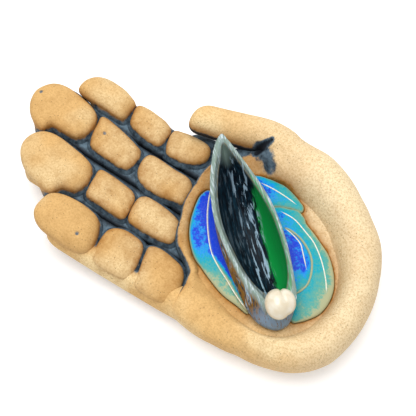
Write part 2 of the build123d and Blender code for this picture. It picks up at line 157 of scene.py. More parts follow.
def ringsPiece(name, rings, masks, material, slot, *replaced):
    # Closed loops stacked into a skin: a grid of four-sided faces, and a fan that closes each end
    levels, around = rings.shape[:2]
    points = np.concatenate([rings.reshape(-1, 3), rings[:1].mean(1), rings[-1:].mean(1)])
    row = np.arange(levels - 1)[:, None] * around
    column = np.arange(around)[None, :]
    following = (column + 1) % around
    quads = np.stack([row + column, row + following, row + around + following, row + around + column], -1)
    quads = quads.reshape(-1, 4)
    last = (levels - 1) * around
    start = np.stack([following[0], column[0], np.full(around, levels * around)], -1)
    end = np.stack([last + column[0], last + following[0], np.full(around, levels * around + 1)], -1)
    fans = np.concatenate([start, end])
    # Where the faces enclose a volume below zero, they look inwards and are turned round
    triangles = np.concatenate([quads[:, :3], quads[:, [0, 2, 3]], fans])
    corner = points[triangles] - points.mean(0)
    if np.einsum("ij,ij->", corner[:, 0], np.cross(corner[:, 1], corner[:, 2])) < 0:
        quads, fans = quads[:, ::-1], fans[:, ::-1]
    mesh = bpy.data.meshes.new(name)
    mesh.from_pydata(((points + handShift) * millimetre).tolist(), [], quads.tolist() + fans.tolist())
    mesh.polygons.foreach_set("use_smooth", np.ones(len(mesh.polygons), bool))
    for mask, values in masks.items():
        values = np.broadcast_to(values, (levels, around)).astype(np.float32)
        whole = np.concatenate([values.ravel(), [values[0].mean(), values[-1].mean()]]).astype(np.float32)
        mesh.attributes.new(mask, "FLOAT", "POINT").data.foreach_set("value", whole)
    mesh.materials.append(material)
    piece = bpy.data.objects.new(name, mesh)
    bpy.context.scene.collection.objects.link(piece)
    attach(piece, "root")
    if replaced:
        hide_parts(*replaced)


def fill(tree, node, values):
    # Each socket by name or number: another node's output is linked to it, and a plain value is set
    for socket, value in values.items():
        if isinstance(value, bpy.types.NodeSocket):
            tree.links.new(value, node.inputs[socket])
        else:
            node.inputs[socket].default_value = value


def put(tree, kind, values=None, **settings):
    node = tree.nodes.new("ShaderNode" + kind)
    for key, value in settings.items():
        setattr(node, key, value)
    fill(tree, node, values or {})
    return node


def mathOf(tree, operation, *values, clamp=False):
    return put(tree, "Math", dict(enumerate(values)), operation=operation, use_clamp=clamp).outputs[0]


def blendColor(tree, factor, first, second):
    first, second = (c if isinstance(c, bpy.types.NodeSocket) else (*c, 1) for c in (first, second))
    return put(tree, "Mix", {0: factor, 6: first, 7: second}, data_type="RGBA").outputs[2]


def tint(tree, color, mask, stops, paint, smooth=False):
    return blendColor(tree, rampOf(tree, mask, stops, smooth), color, paint)


def rampOf(tree, factor, stops, smooth=False):
    # Two places alone mean from 0 at the first to 1 at the second, or to the third value
    if isinstance(stops, tuple):
        stops = [(stops[0], 0.0), (stops[1], *(stops[2:] or (1.0,)))]
    node = put(tree, "ValToRGB", {"Fac": factor})
    node.color_ramp.interpolation = "EASE" if smooth else "LINEAR"
    elements = node.color_ramp.elements
    while len(elements) < len(stops):
        elements.new(0.5)
    for element, (place, color) in zip(elements, stops):
        element.position = place
        element.color = (color, color, color, 1) if isinstance(color, float) else (*color, 1)
    return node.outputs["Color"]


def objectPoint(tree, size, turn=0.0, middle=(0, 0, 0)):
    # Object coordinates with a pattern size in millimetres, turned to run along a piece
    size = size if isinstance(size, tuple) else (size,) * 3
    values = {"Vector": put(tree, "TexCoord").outputs["Object"], "Scale": tuple(s * millimetre for s in size),
              "Rotation": (0, 0, math.radians(turn)), "Location": tuple(m * millimetre for m in middle)}
    return put(tree, "Mapping", values, vector_type="TEXTURE").outputs[0]


def noiseOf(tree, size, detail=3.0, roughness=0.5, distortion=0.0, **place):
    values = {"Vector": objectPoint(tree, size, **place), "Scale": 1.0, "Detail": detail,
              "Roughness": roughness, "Distortion": distortion}
    return put(tree, "TexNoise", values).outputs["Fac"]


def cellsOf(tree, size, **settings):
    return put(tree, "TexVoronoi", {"Vector": objectPoint(tree, size), "Scale": 1.0}, **settings).outputs


def bumpOf(tree, height, strength, distance):
    values = {"Height": height, "Strength": strength, "Distance": distance * millimetre}
    return put(tree, "Bump", values).outputs[0]


def maskOf(tree, name):
    return put(tree, "Attribute", attribute_name=name).outputs["Fac"]


def newMaterial(name, finish):
    material = bpy.data.materials.new(name)
    material.use_nodes = True
    tree = material.node_tree
    tree.nodes.clear()
    shader = put(tree, "BsdfPrincipled", finish)
    put(tree, "OutputMaterial", {"Surface": shader.outputs[0]})
    return material, tree, shader


clayLook = dict(
    cream=(0.92, 0.79, 0.54), pale=(0.87, 0.66, 0.35), light=(0.76, 0.48, 0.19), middle=(0.46, 0.26, 0.085),
    # The orange-brown of toasting also serves as painted shade, and the soot black as pooled stain with
    # painted shade
    toast_and_shade=(0.34, 0.135, 0.018), speck=(0.15, 0.085, 0.04), slate=(0.118, 0.182, 0.235),
    soot=(0.007, 0.010, 0.016),
    # Noises: size in millimetres, detail, roughness
    noises=dict(clouds=(9.0, 5.0, 0.6), grain=(1.0, 3.0, 0.8), patches=(3.0, 4.0, 0.65), broad=(34.0, 2.0)),
    # Painted light: the cream lean and its ramp make the clay paler towards the heel and the thumb side
    litSideWay=(6.0, 5.0, 0.0), lightRamp=(0.40, 0.60), cloudRamp=(0.42, 0.75, 0.45),
    litSideRamp=(0.0, 0.50, 0.62), grainRamp=(0.44, 0.62, 0.50), stainRamp=(0.22, 0.84), fadeRamp=(0.02, 0.40),
    sootRamp=(0.40, 0.68, 0.85), roughRamp=[(0.3, 0.62), (0.7, 0.85)], toastPatch=(0.9, 0.35),
    stainPatch=(1.2, -0.6), speckSize=1.5, speckRadius=0.17, speckShare=0.30, speckDepth=0.62,
    # How much of each pattern stands out as relief
    relief=dict(grain=0.35, patches=0.5, specks=0.25), bump=(0.5, 0.4), finish={"Specular IOR Level": 0.25},
)


def clayGroup():
    # Speckled stoneware that turns orange-brown with toasting and painted shade, slate-blue where it is
    # stained, and black where stain pools and shade is painted
    look, relief = clayLook, clayLook["relief"]
    group = bpy.data.node_groups.new("pressedClay", "ShaderNodeTree")
    for label in ("Stain", "Toast_and_shade", "Pooled_stain_and_shade"):
        group.interface.new_socket(label, in_out="INPUT", socket_type="NodeSocketFloat")
    for label, kind in dict(Color="Color", Roughness="Float", Height="Float").items():
        group.interface.new_socket(label, in_out="OUTPUT", socket_type="NodeSocket" + kind)
    given, made = group.nodes.new("NodeGroupInput").outputs, group.nodes.new("NodeGroupOutput")
    clouds, grain, patches, broad = (noiseOf(group, *noise) for noise in look["noises"].values())
    color = tint(group, look["pale"], broad, look["lightRamp"], look["light"], True)
    color = tint(group, color, clouds, look["cloudRamp"], look["middle"], True)
    # Painted light: the heel and the thumb side of the palm are paler than the fingers, as the side that the
    # light falls on
    place = put(group, "TexCoord").outputs["Object"]
    lean = put(group, "VectorMath", {0: place, 1: look["litSideWay"]}, operation="DOT_PRODUCT").outputs["Value"]
    color = tint(group, color, lean, look["litSideRamp"], look["cream"], True)
    color = tint(group, color, grain, look["grainRamp"], look["middle"])
    # Orange-brown toasting, which also paints shade on undersides, low sides and round the petals
    toastAndShade = mathOf(group, "MULTIPLY_ADD", patches, *look["toastPatch"])
    toastAndShade = mathOf(group, "MULTIPLY", toastAndShade, given["Toast_and_shade"], clamp=True)
    color = blendColor(group, toastAndShade, color, look["toast_and_shade"])
    cells = cellsOf(group, look["speckSize"])
    near = mathOf(group, "LESS_THAN", cells["Distance"], look["speckRadius"])
    rare = put(group, "SeparateColor", {"Color": cells["Color"]}).outputs[0]
    rare = mathOf(group, "LESS_THAN", rare, look["speckShare"])
    specks = mathOf(group, "MULTIPLY", mathOf(group, "MULTIPLY", near, rare), look["speckDepth"])
    color = blendColor(group, specks, color, look["speck"])
    stain = mathOf(group, "ADD", given["Stain"], mathOf(group, "MULTIPLY_ADD", patches, *look["stainPatch"]))
    fade = rampOf(group, given["Stain"], look["fadeRamp"], True)
    stain = mathOf(group, "MULTIPLY", rampOf(group, stain, look["stainRamp"], True), fade)
    slate = tint(group, look["slate"], patches, look["sootRamp"], look["soot"])
    # Black where stain pools, and painted shade in grooves, creases and undersides
    slate = blendColor(group, given["Pooled_stain_and_shade"], slate, look["soot"])
    height = mathOf(group, "ADD", mathOf(group, "MULTIPLY", grain, relief["grain"]),
                    mathOf(group, "MULTIPLY", patches, relief["patches"]))
    height = mathOf(group, "SUBTRACT", height, mathOf(group, "MULTIPLY", specks, relief["specks"]))
    fill(group, made, {"Color": blendColor(group, stain, color, slate), "Height": height,
                       "Roughness": rampOf(group, grain, look["roughRamp"])})
    return group


def clayMaterial(name, group):
    material, tree, shader = newMaterial(name, clayLook["finish"])
    masks = {socket: maskOf(tree, socket.lower()) for socket in ("Stain", "Toast_and_shade", "Pooled_stain_and_shade")}
    clay = put(tree, "Group", node_tree=group)
    fill(tree, clay, masks)
    clay = clay.outputs
    fill(tree, shader, {"Base Color": clay["Color"], "Roughness": clay["Roughness"],
                        "Normal": bumpOf(tree, clay["Height"], *clayLook["bump"])})
    return material


pressedClay = clayGroup()
stoneware = clayMaterial("stoneware", pressedClay)
stainedStoneware = clayMaterial("stainedStoneware", pressedClay)
print("clay mixed")


# The shell's place and size. The petals are drawn in its frame too: along it and beside it
shellLook = dict(
    middle=(30.5, -7.0), turn=-43.4, tilt=6.0, bed=17.5, rimRise=18.0, depth=18.5, floor=3.0,
    # How far under the rim the hull is widest, how much it narrows to the bed, and how it leans in above
    waist=6.0, narrowing=0.55, leanPower=1.6, lip=0.5, lipInside=(0.45, 0.62), dishRim=0.38, prowDrop=2.2,
    prowRange=(38, 47), around=300,
    # Down the dish: share of the depth, size
    dish=[(0.0, 1.0), (0.30, 0.95), (0.60, 0.82), (0.85, 0.60), (1.0, 0.30)],
    # Half the length and half the width that the masks count in
    halfSize=(50.5, 18),
)
shellTurn = math.radians(shellLook["turn"])
shellAlong = np.array([math.cos(shellTurn), math.sin(shellTurn)])
shellAside = np.array([-math.sin(shellTurn), math.cos(shellTurn)])


def fromShell(points):
    # Along and beside the shell, to the hand's X and Y
    points = np.asarray(points, float)
    return np.array(shellLook["middle"]) + points[..., :1] * shellAlong + points[..., 1:2] * shellAside


def onShell(flat, z):
    # Rings from places in the shell's frame and heights
    return np.concatenate([fromShell(flat), z[..., None]], -1)


def shellRim(along):
    # Height of the tilted plane of the rim
    return shellLook["bed"] + shellLook["rimRise"] - math.tan(math.radians(shellLook["tilt"])) * along


petalLook = dict(
    bed=17.6, edge=20.3, crown=1.2, crownReach=3.5, edgeDrop=0.55, edgeReach=0.35, foldEdge=0.9, fold=23.0,
    foldRange=(17.0, 8.0), foldCrown=0.5, foldReach=1.2, lowFold=1.4, count=260, levels=46, smallest=0.02,
    spacing=1.25, rimReach=0.5,
)
petalOutlines = dict(
    leftOuter=[(-31, -9.5), (-29.8, -14.4), (-25.1, -18.3), (-17.3, -22.6), (-10.1, -25), (-2.5, -25.7),
        (3.8, -25.1), (8.9, -23.2), (14.6, -21.1), (24.6, -16.6), (31.9, -11.1), (37.5, -6.4), (28, -5),
        (10, -7.5), (-10, -7.5), (-24, -6)],
    leftInner=[(-29.5, -9.3), (-18.7, -13.7), (-7.5, -15.9), (2.4, -16.6), (10.4, -15.2), (18.5, -12.9),
        (28.1, -10.3), (36.5, -6.9), (28, -5), (10, -8), (-10, -8), (-24, -6)],
    crest=[(-33.9, 15.2), (-30.5, 21.2), (-27.6, 24.8), (-24.3, 28.3), (-18.9, 31.3), (-14.5, 33.1),
        (-11.5, 34), (-9.3, 33.2), (-9.1, 31.6), (-11.7, 28), (-13.4, 24.1), (-14.6, 20.5), (-15, 12),
        (-25, 10), (-33, 10.5)],
    rightOuter=[(-14.6, 20.6), (-12.2, 26.7), (-9.6, 31.1), (-5.2, 32.9), (-2, 33.1), (4, 35.5), (9.9, 37.4),
        (16.5, 39.3), (23.5, 39.5), (30.1, 38.6), (36.2, 36.3), (41.4, 32.5), (45.4, 27.2), (46.9, 21.3),
        (47.2, 16.3), (46.3, 13), (40, 11.5), (20, 13), (0, 13.5), (-14, 13)],
    rightInner=[(-2.2, 21.6), (0.8, 24.7), (5.5, 27.8), (11.3, 29.8), (17.6, 30.3), (24.1, 28.5),
        (29.4, 25.4), (32.1, 21.5), (33.5, 17.7), (33, 14), (16, 14.4), (0, 14.4), (-3.5, 16.5)],
)
# Shade at the shell, its growth per millimetre outwards, its rise at the blunt end from one X to another, rim
petalShades = dict(
    leftOuter=(0.05, 0.016, 0.80, -6, 24, 1.4), leftInner=(0.02, 0.0, 0.90, 0, 18, 0.5),
    crest=(0.16, 0.018, 0.0, 0, 1, 2.4), rightOuter=(0.06, 0.026, 0.45, 22, 42, 2.0),
    rightInner=(0.12, 0.004, 0.34, 16, 33, 1.4),
)
shadeLook = dict(side=13, rim=0.38, stripWidth=1.8)
veinLines = dict(
    left=[(-29.8, -9.7), *petalOutlines["leftInner"][1:7], (36.5, -7.1)],
    crest=[(-29, 16), (-24, 21.5), (-18.5, 26.5), (-13, 30.8)],
    rightOuter=[(-11.2, 22.2), (-5.2, 27.7), (2.8, 31.4), (9.5, 33.9), (19, 34.9), (28.7, 34.4), (35.9, 33)],
    rightInner=[(-2.2, 21.5), (2, 24.3), (8, 27), (13.4, 27), (22.5, 26.5)],
)
ringOutlines = {name: evenRing(outline, petalLook["count"]) for name, outline in petalOutlines.items()}


def cushionHeight(name):
    # Height of a laid petal: a soft edge, then a low crown that rises with the distance from the outline
    look = petalLook

    def height(points):
        inside = np.maximum(-outlineDistance(points, ringOutlines[name]), 0)
        crown = look["crown"] * (1 - np.exp(-inside / look["crownReach"]))
        return look["edge"] + crown - look["edgeDrop"] * np.exp(-inside / look["edgeReach"])
    return height


def foldHeight(name, high):
    # Height of a folded-up strip: it climbs from its vein to the shell
    look = petalLook
    low = look["edge"] + look["foldEdge"]

    def height(points):
        inside = np.maximum(-outlineDistance(points, ringOutlines[name]), 0)
        reach = smoothStep(*look["foldRange"], np.abs(points[..., 1]))
        return low + (high - low) * reach + look["foldCrown"] * (1 - np.exp(-inside / look["foldReach"]))
    return height


def petalPiece(name, height, material):
    # The outline, once on the bed and then on top, shrinks onto its middle at the heights of the petal
    look, outline = petalLook, ringOutlines[name]
    centre = outline.mean(0)
    share = 1 - (1 - np.linspace(1, look["smallest"], look["levels"])) ** look["spacing"]
    flat = centre + (outline - centre) * np.concatenate([[1.0], share])[:, None, None]
    z = height(flat)
    z[0] = look["bed"]
    out = -outlineDistance(flat, outline)
    # Cobalt lies against the shell, sage along the outer edge and at the blunt end
    base, sideways, blunt, bluntFrom, bluntTo, rimWidth = petalShades[name]
    blunted = blunt * smoothStep(bluntFrom, bluntTo, flat[..., 0])
    if name == "leftInner":
        blunted = blunted * bell(np.maximum(out, 0), shadeLook["stripWidth"])
    shade = base + sideways * np.maximum(np.abs(flat[..., 1]) - shadeLook["side"], 0) + blunted
    shade = shade + shadeLook["rim"] * np.exp(-out / rimWidth)
    masks = dict(rim=bell(np.maximum(out, 0), look["rimReach"]), shade=shade)
    node = name.replace("Outer", "_outer").replace("Inner", "_inner") + "_petal"
    ringsPiece(name + "Petal", onShell(flat, z), masks, material, "petal_glaze", node)


slipLook = dict(step=0.5, fewest=8, around=10, taperSteps=6, thinnest=0.15, flatness=0.75, radius=0.3,
                wideRadius=0.32, lift=0.1, rimPoints=9, rimLift=1.3, rimRadius=0.55, rimMask=0.9)


def slipLine(name, line, height, material, radius=slipLook["radius"], **masks):
    # A trailed line of slip: a flattened tube along the line, lying half in the glaze
    look = slipLook
    count = int(np.linalg.norm(np.diff(line, axis=0), axis=1).sum() / look["step"])
    path = openCurve(line, max(count, look["fewest"]))
    heading = np.gradient(path, axis=0)
    heading /= np.linalg.norm(heading, axis=1)[:, None]
    beside = np.stack([-heading[:, 1], heading[:, 0]], 1)
    phase = anglesRound(look["around"])
    steps = np.arange(len(path))
    steps = np.minimum(steps, steps[::-1]) / look["taperSteps"]
    taper = radius * np.clip(steps, look["thinnest"], 1)[:, None]
    flat = path[:, None] + beside[:, None] * (np.cos(phase) * taper)[..., None]
    z = height(path)[:, None] + look["flatness"] * np.sin(phase) * taper
    ringsPiece(name, onShell(flat, z), masks, material, "petal_glaze")


glazeLook = dict(
    cobalt=(0.001, 0.045, 0.64), azure=(0.001, 0.30, 0.76), turquoise=(0.001, 0.36, 0.44),
    sage=(0.12, 0.38, 0.30), cream=(0.42, 0.44, 0.26),
    stops=dict(cobalt=0.16, azure=0.30, turquoise=0.50, sage=0.82, cream=1.0),
    blotches=(5.0, 6.0, 0.72), grains=(1.0, 3.0, 0.6), grainShare=0.45, crackleSize=1.6,
    crackleRamp=[(0.0, 0.06), (0.08, 0.0)], rimShare=0.8, bump=(0.35, 0.5),
    finish={"Roughness": 0.35, "Specular IOR Level": 0.10, "Coat Weight": 0.03, "Coat Roughness": 0.10},
)
slipColors = dict(size=1.2, ramp=[(0.35, (0.88, 0.88, 0.80)), (0.7, (0.70, 0.66, 0.45))],
                  finish={"Roughness": 0.3})


def glazeMaterial():
    # Cobalt runs through azure and turquoise to sage as the shade mask and its blotches grow
    look = glazeLook
    material, tree, shader = newMaterial("petalGlaze", look["finish"])
    blotches, grains = noiseOf(tree, *look["blotches"]), noiseOf(tree, *look["grains"])
    place = mathOf(tree, "ADD", maskOf(tree, "shade"), mathOf(tree, "SUBTRACT", blotches, 0.5))
    fine = mathOf(tree, "MULTIPLY", mathOf(tree, "SUBTRACT", grains, 0.5), look["grainShare"])
    place = mathOf(tree, "ADD", place, fine, clamp=True)
    color = rampOf(tree, place, [(stop, look[name]) for name, stop in look["stops"].items()])
    edges = cellsOf(tree, look["crackleSize"], feature="DISTANCE_TO_EDGE")["Distance"]
    color = tint(tree, color, edges, look["crackleRamp"], look["cream"])
    rim = mathOf(tree, "MULTIPLY", maskOf(tree, "rim"), look["rimShare"])
    color = blendColor(tree, rim, color, look["cream"])
    fill(tree, shader, {"Base Color": color, "Normal": bumpOf(tree, blotches, *look["bump"])})
    return material


def plainMaterial(name, look):
    # One noise runs between two colours
    material, tree, shader = newMaterial(name, look["finish"])
    fill(tree, shader, {"Base Color": rampOf(tree, noiseOf(tree, look["size"]), look["ramp"])})
    if "bump" in look:
        fill(tree, shader, {"Normal": bumpOf(tree, noiseOf(tree, *look["bumpNoise"]), *look["bump"])})
    return material


petalGlaze = glazeMaterial()
creamSlip = plainMaterial("creamSlip", slipColors)
lowFold, veinLift = petalLook["edge"] + petalLook["lowFold"], slipLook["lift"]
petalTops = {name: cushionHeight(name) for name in ("leftOuter", "crest", "rightOuter")}
petalTops["leftInner"] = foldHeight("leftInner", petalLook["fold"])
petalTops["rightInner"] = foldHeight("rightInner", lowFold)
for name in petalOutlines:
    petalPiece(name, petalTops[name], petalGlaze)
slipLine("leftVein", veinLines["left"], lambda p: petalTops["leftInner"](p) + veinLift, creamSlip)
slipLine("crestVein", veinLines["crest"], petalTops["crest"], creamSlip)
slipLine("rightOuterVein", veinLines["rightOuter"], petalTops["rightOuter"], creamSlip,
         slipLook["wideRadius"])
slipLine("rightInnerVein", veinLines["rightInner"], foldHeight("rightInner", lowFold + 2 * veinLift),
         creamSlip)
slipLine("rightInnerRim", petalOutlines["rightInner"][:slipLook["rimPoints"]],
         lambda p: np.full(len(p), petalLook["edge"] + slipLook["rimLift"]), petalGlaze,
         slipLook["rimRadius"], rim=slipLook["rimMask"], shade=slipLook["rimMask"])
print("petals laid")


shellRings = dict(
    rim=[(-50.3, 0.6), (-45, -4), (-35.8, -7.8), (-26.5, -10.6), (-17, -12.2), (-7.4, -12.8), (6, -11),
        (15.5, -8.9), (23.5, -6.8), (30.2, -4), (36, -0.5), (42, 1.5), (45.8, 5.5), (45, 11), (41.5, 15),
        (37.3, 17.1), (26.3, 18.2), (18.8, 18.7), (11.1, 18.8), (3.3, 18.4), (-5.6, 17.4), (-13.8, 15.7),
        (-22.2, 13.1), (-29.8, 10.2), (-38.6, 6.7), (-46.9, 3.1)],
    hull=[(-47.5, 0.6), (-42.5, -3.4), (-34, -7.0), (-25, -9.8), (-16, -11.5), (-7, -12.6), (2, -12.7),
        (9.4, -12.1), (19.3, -10.8), (29.1, -9.0), (38.1, -7.0), (43.8, -4.0), (47.8, 0.6), (49.6, 4.8),
        (48.8, 9.6), (45.8, 12.8), (42, 15), (36, 16.6), (26, 17.4), (18.8, 17.9), (11, 17.9), (3.3, 17.4),
        (-5.6, 16.4), (-13.8, 14.7), (-22.2, 12.1), (-29.8, 9.2), (-38.6, 5.9), (-45, 2.6)],
    dish=[(-45.5, 0.5), (-37.6, -2.8), (-30.3, -5.6), (-20, -8.3), (-10.4, -9.4), (-0.7, -9.2), (9.3, -7.5),
        (19.2, -5.2), (27.5, -2.0), (33.5, 2.0), (37.5, 6.5), (36.5, 11), (31.8, 13.9), (25.7, 15.7),
        (18.3, 16.6), (11.6, 16.6), (3.8, 16.2), (-5.1, 15.1), (-13.4, 13.1), (-21.9, 10.4), (-29.4, 7.6),
        (-37, 4.7)],
)


def level(outline, height):
    # An XY outline at one height
    return np.concatenate([outline, np.full((len(outline), 1), height)], 1)


def shellPiece(material):
    # The hull swells from the bed to its widest line and leans in to the rim. A rounded lip crosses to the
    # edge of the dish, which shrinks as it goes down. Heights count from the tilted plane of the rim
    look, waist = shellLook, shellLook["waist"]
    rim, hull, dish = (evenRing(shellRings[name], look["around"]) for name in ("rim", "hull", "dish"))
    rings, inside, band = [], [], []
    for share in np.linspace(1, 0, 12):
        flat = hull.mean(0) + (hull - hull.mean(0)) * (1 - look["narrowing"] * share**2)
        rings.append(level(flat, -waist - share * (look["depth"] - waist)))
    for share in np.linspace(0, 1, 10)[1:]:
        rings.append(level(hull + (rim - hull) * share ** look["leanPower"], -waist * (1 - share)))
    inside += [0.0] * len(rings)
    band += [0.0] * (len(rings) - 2) + [0.5, 1.0]
    for share in np.linspace(0, 1, 9)[1:-1]:
        rings.append(level(rim + (dish - rim) * share, look["lip"] * math.sin(math.pi * share)))
        inside.append(smoothStep(*look["lipInside"], share))
        band.append(1 - (1 - look["dishRim"]) * inside[-1])
    for share, size in openCurve(look["dish"], 18):
        flat = dish.mean(0) + (dish - dish.mean(0)) * size
        rings.append(level(flat, -share * (look["depth"] - look["floor"])))
        inside.append(smoothStep(0.0, 0.05, share))
        band.append(look["dishRim"] * smoothStep(0.16, 0.0, share))
    rings = np.array(rings)
    x = rings[..., 0]
    along, beside = x / look["halfSize"][0], rings[..., 1] / look["halfSize"][1]
    z = shellRim(x) + rings[..., 2] - look["prowDrop"] * smoothStep(*look["prowRange"], x)
    rings = onShell(rings[..., :2], np.maximum(z, look["bed"]))
    masks = dict(inside=np.array(inside)[:, None], rim=np.array(band)[:, None], beside=beside, along=along)
    ringsPiece("musselShell", rings, masks, material, "shell_glaze", "mussel_shell")


shellColors = dict(
    black=(0.004, 0.006, 0.010), blueBlack=(0.008, 0.03, 0.05), green=(0.006, 0.260, 0.050),
    rimGreen=(0.23, 0.31, 0.27), fleckAndGlint=(0.60, 0.70, 0.74), drip=(0.30, 0.43, 0.54), brown=(0.20, 0.10, 0.02),
    prow=(0.22, 0.31, 0.42),
    # Noises: size in millimetres, detail, roughness, distortion
    streaks=((14.0, 1.8, 6.0), 6.0, 0.62, 0.6), fine=((7.0, 0.8, 2.0), 5.0, 0.65, 0.4), greenWander=0.7,
    greenRamp=(0.50, 0.58), blackRamp=(0.45, 0.65), tipRamp=(0.70, 0.86, 0.8), dripAndReflectionRamp=(0.545, 0.595),
    dripAndReflectionBand=[(0.0, 0.15), (0.22, 1.0), (0.50, 1.0), (0.66, 0.0)], brownRamp=(0.53, 0.62),
    wallRamp=(0.50, 0.58), prowRamp=(0.74, 0.88), prowPatch=(0.36, 0.48), fleckAndGlintRamp=(0.51, 0.64),
    bump=(0.4, 0.6),
    finish={"Roughness": 0.30, "Specular IOR Level": 0.04, "Coat Weight": 0.02, "Coat Roughness": 0.05},
)


def shellMaterial():
    # Blue-black with a green side and grey runs inside that are partly painted reflections, brown and grey
    # outside, a pale flecked rim whose white flecks are partly painted highlights
    look = shellColors
    material, tree, shader = newMaterial("shellGlaze", look["finish"])
    place = dict(turn=shellLook["turn"], middle=(*shellLook["middle"], 0))
    streaks, fine = noiseOf(tree, *look["streaks"], **place), noiseOf(tree, *look["fine"], **place)
    along, beside = maskOf(tree, "along"), maskOf(tree, "beside")
    green = mathOf(tree, "MULTIPLY_ADD", mathOf(tree, "SUBTRACT", streaks, 0.5), look["greenWander"], beside)
    base = tint(tree, look["black"], fine, look["blackRamp"], look["blueBlack"])
    base = tint(tree, base, green, look["greenRamp"], look["green"])
    pointed = mathOf(tree, "MULTIPLY", along, -1.0)
    base = tint(tree, base, pointed, look["tipRamp"], look["rimGreen"], True)
    # Grey runs inside the dish: glaze streaks that also stand as painted reflections
    dripsAndReflections = rampOf(tree, streaks, look["dripAndReflectionRamp"])
    dripsAndReflections = mathOf(tree, "MULTIPLY", dripsAndReflections, rampOf(tree, beside, look["dripAndReflectionBand"], True))
    base = blendColor(tree, dripsAndReflections, base, look["drip"])
    wall = tint(tree, look["brown"], streaks, look["brownRamp"], look["drip"])
    wall = tint(tree, wall, fine, look["wallRamp"], look["blueBlack"])
    prow = rampOf(tree, fine, look["prowPatch"])
    prow = mathOf(tree, "MULTIPLY", rampOf(tree, along, look["prowRamp"]), prow)
    wall = blendColor(tree, prow, wall, look["prow"])
    # White flecks on the rim: the glaze's own speckle and partly painted highlights
    band = tint(tree, look["rimGreen"], fine, look["fleckAndGlintRamp"], look["fleckAndGlint"])
    color = blendColor(tree, maskOf(tree, "inside"), wall, base)
    color = blendColor(tree, maskOf(tree, "rim"), color, band)
    fill(tree, shader, {"Base Color": color, "Normal": bumpOf(tree, streaks, *look["bump"])})
    return material


shellPiece(shellMaterial())
print("shell set")


pearlLook = dict(
    place=(41.2, 6.6, 3.0), radius=6.3, second=(-0.4, 3.6), secondRadius=5.4, softness=5, shrink=0.10,
    stretch=(1.22, 1.0, 1.0), crease=0.5, creasePlace=1.0, creaseWidth=0.8, creaseEnds=(-3.0, 4.0), size=4.0,
    ramp=[(0.35, (0.80, 0.74, 0.60)), (0.65, (0.72, 0.62, 0.45))],
    bumpNoise=(5.0, 2.0), bump=(0.3, 0.6),
    finish={"Roughness": 0.28, "Coat Weight": 0.5, "Coat Roughness": 0.12},
)


def pearlPiece(material):
    # Two grown-together lobes: along each ray the reach is the soft larger one of two spheres
    look = pearlLook
    ray = ballRays(70, 140)
    middle = np.array([*look["second"], 0]) / 2
    reach = 0
    for centre, radius in ((-middle, look["radius"]), (middle, look["secondRadius"])):
        along = ray @ centre
        reach = reach + np.exp(look["softness"] * (along + np.sqrt(radius**2 - centre @ centre + along**2)))
    reach = np.log(reach) / look["softness"] - look["shrink"]
    body = ray * reach[..., None]
    crease = look["crease"] * bell(body[..., 1] - look["creasePlace"], look["creaseWidth"])
    reach = reach - crease * smoothStep(*look["creaseEnds"], -body[..., 0])
    body = ray * reach[..., None] * look["stretch"]
    place = look["place"]
    flat = body[..., :2] + place[:2] + middle[:2]
    rings = onShell(flat, shellRim(place[0]) + place[2] + body[..., 2])
    ringsPiece("baroquePearl", rings, {}, material, "pearl_glaze", "pearl")


pearlPiece(plainMaterial("pearlGlaze", pearlLook))
print("pearl set")


thumbLook = dict(
    # Stations: X, then the middle's Y and Z, then half the width and half the height
    stations=[(36, 45.4, 17.6, 11.2, 12.4), (26, 46.6, 19.4, 10.6, 11.6), (18, 47.4, 21.4, 9.9, 10.6),
        (10.5, 46.9, 23.2, 9.5, 10.0), (3.5, 44.7, 24.4, 9.6, 9.8), (-4, 42.0, 25.0, 9.3, 9.6),
        (-12, 39.5, 25.5, 8.6, 9.2), (-20, 37.1, 25.7, 8.3, 8.9), (-29, 34.6, 25.7, 8.0, 8.6)],
    root=34.0, tipStart=-20.5, tipEnd=-27.4, tipPower=0.62, smallest=0.02, counts=(70, 40), around=120,
    # Inside the palm the thumb shrinks away under the palm's own skin
    shrink=0.10, shrinkRange=(20, 30), uneven=0.025, carve=0.16, stainRange=(26, 14),
    # By height and by side of the section: stained and toasted underside, and by height alone its black part
    stain=((0.30, -0.05), (0.5, 0.0)), toast_and_shade=((0.75, 0.10), (0.6, -0.1)), pooled_stain_and_shade=(0.35, 0.0),
    wander=((0.05, 6.0, 13),),
)
thumbStations = openCurve(thumbLook["stations"], 300)[::-1]
# The crease where the thumb meets the palm, stained and black with pooled stain and painted shadow, and the
# smudge along the front of the thumb mound
creaseLook = dict(
    line=np.array([(10.5, 37.0), (12.2, 39.2), (13.6, 41.5), (14.8, 43.6)]),
    smudge=np.array([(12.5, 41.0, 26.5), (14.0, 37.7, 25.0), (18.0, 35.2, 24.5), (21.5, 32.5, 23.5)]),
    lowest=21, widths=([38.0, 43.5], [2.6, 0.9]), fuzz=1.3, smudgeReach=(4.6, 0.8), smudgeStrength=0.8,
    outOfReach=99, wander=((0.7, 5.0, 31), (0.4, 2.0, 32)), stainWander=0.5, blackWander=0.2,
    # Shares of the width: where stain and black are full, and the carving
    stainCore=0.7, blackCore=0.45, carveWidth=0.6,
)


def creaseMasks(points):
    # Black along the crease, pooled stain and painted shadow, which narrows as it runs up between thumb and
    # palm, and a fuzzy grey edge beyond
    look = creaseLook
    wander = wanderOf(points, look["wander"])
    crease = lineDistance(points[..., :2], look["line"])
    crease = crease + look["outOfReach"] * (points[..., 2] < look["lowest"])
    smudge = lineDistance(points, look["smudge"])
    width = np.interp(points[..., 1], *look["widths"])
    stain = smoothStep(width + look["fuzz"], look["stainCore"] * width, crease + look["stainWander"] * wander)
    stain = np.maximum(stain, look["smudgeStrength"] * smoothStep(*look["smudgeReach"], smudge + wander))
    black = smoothStep(width, look["blackCore"] * width, crease + look["blackWander"] * wander)
    return stain, black, bell(crease, look["carveWidth"] * width)


def thumbSection(x):
    # Middle Y, middle Z, half width and half height of the thumb at X
    return [np.interp(x, thumbStations[:, 0], thumbStations[:, k]) for k in range(1, 5)]


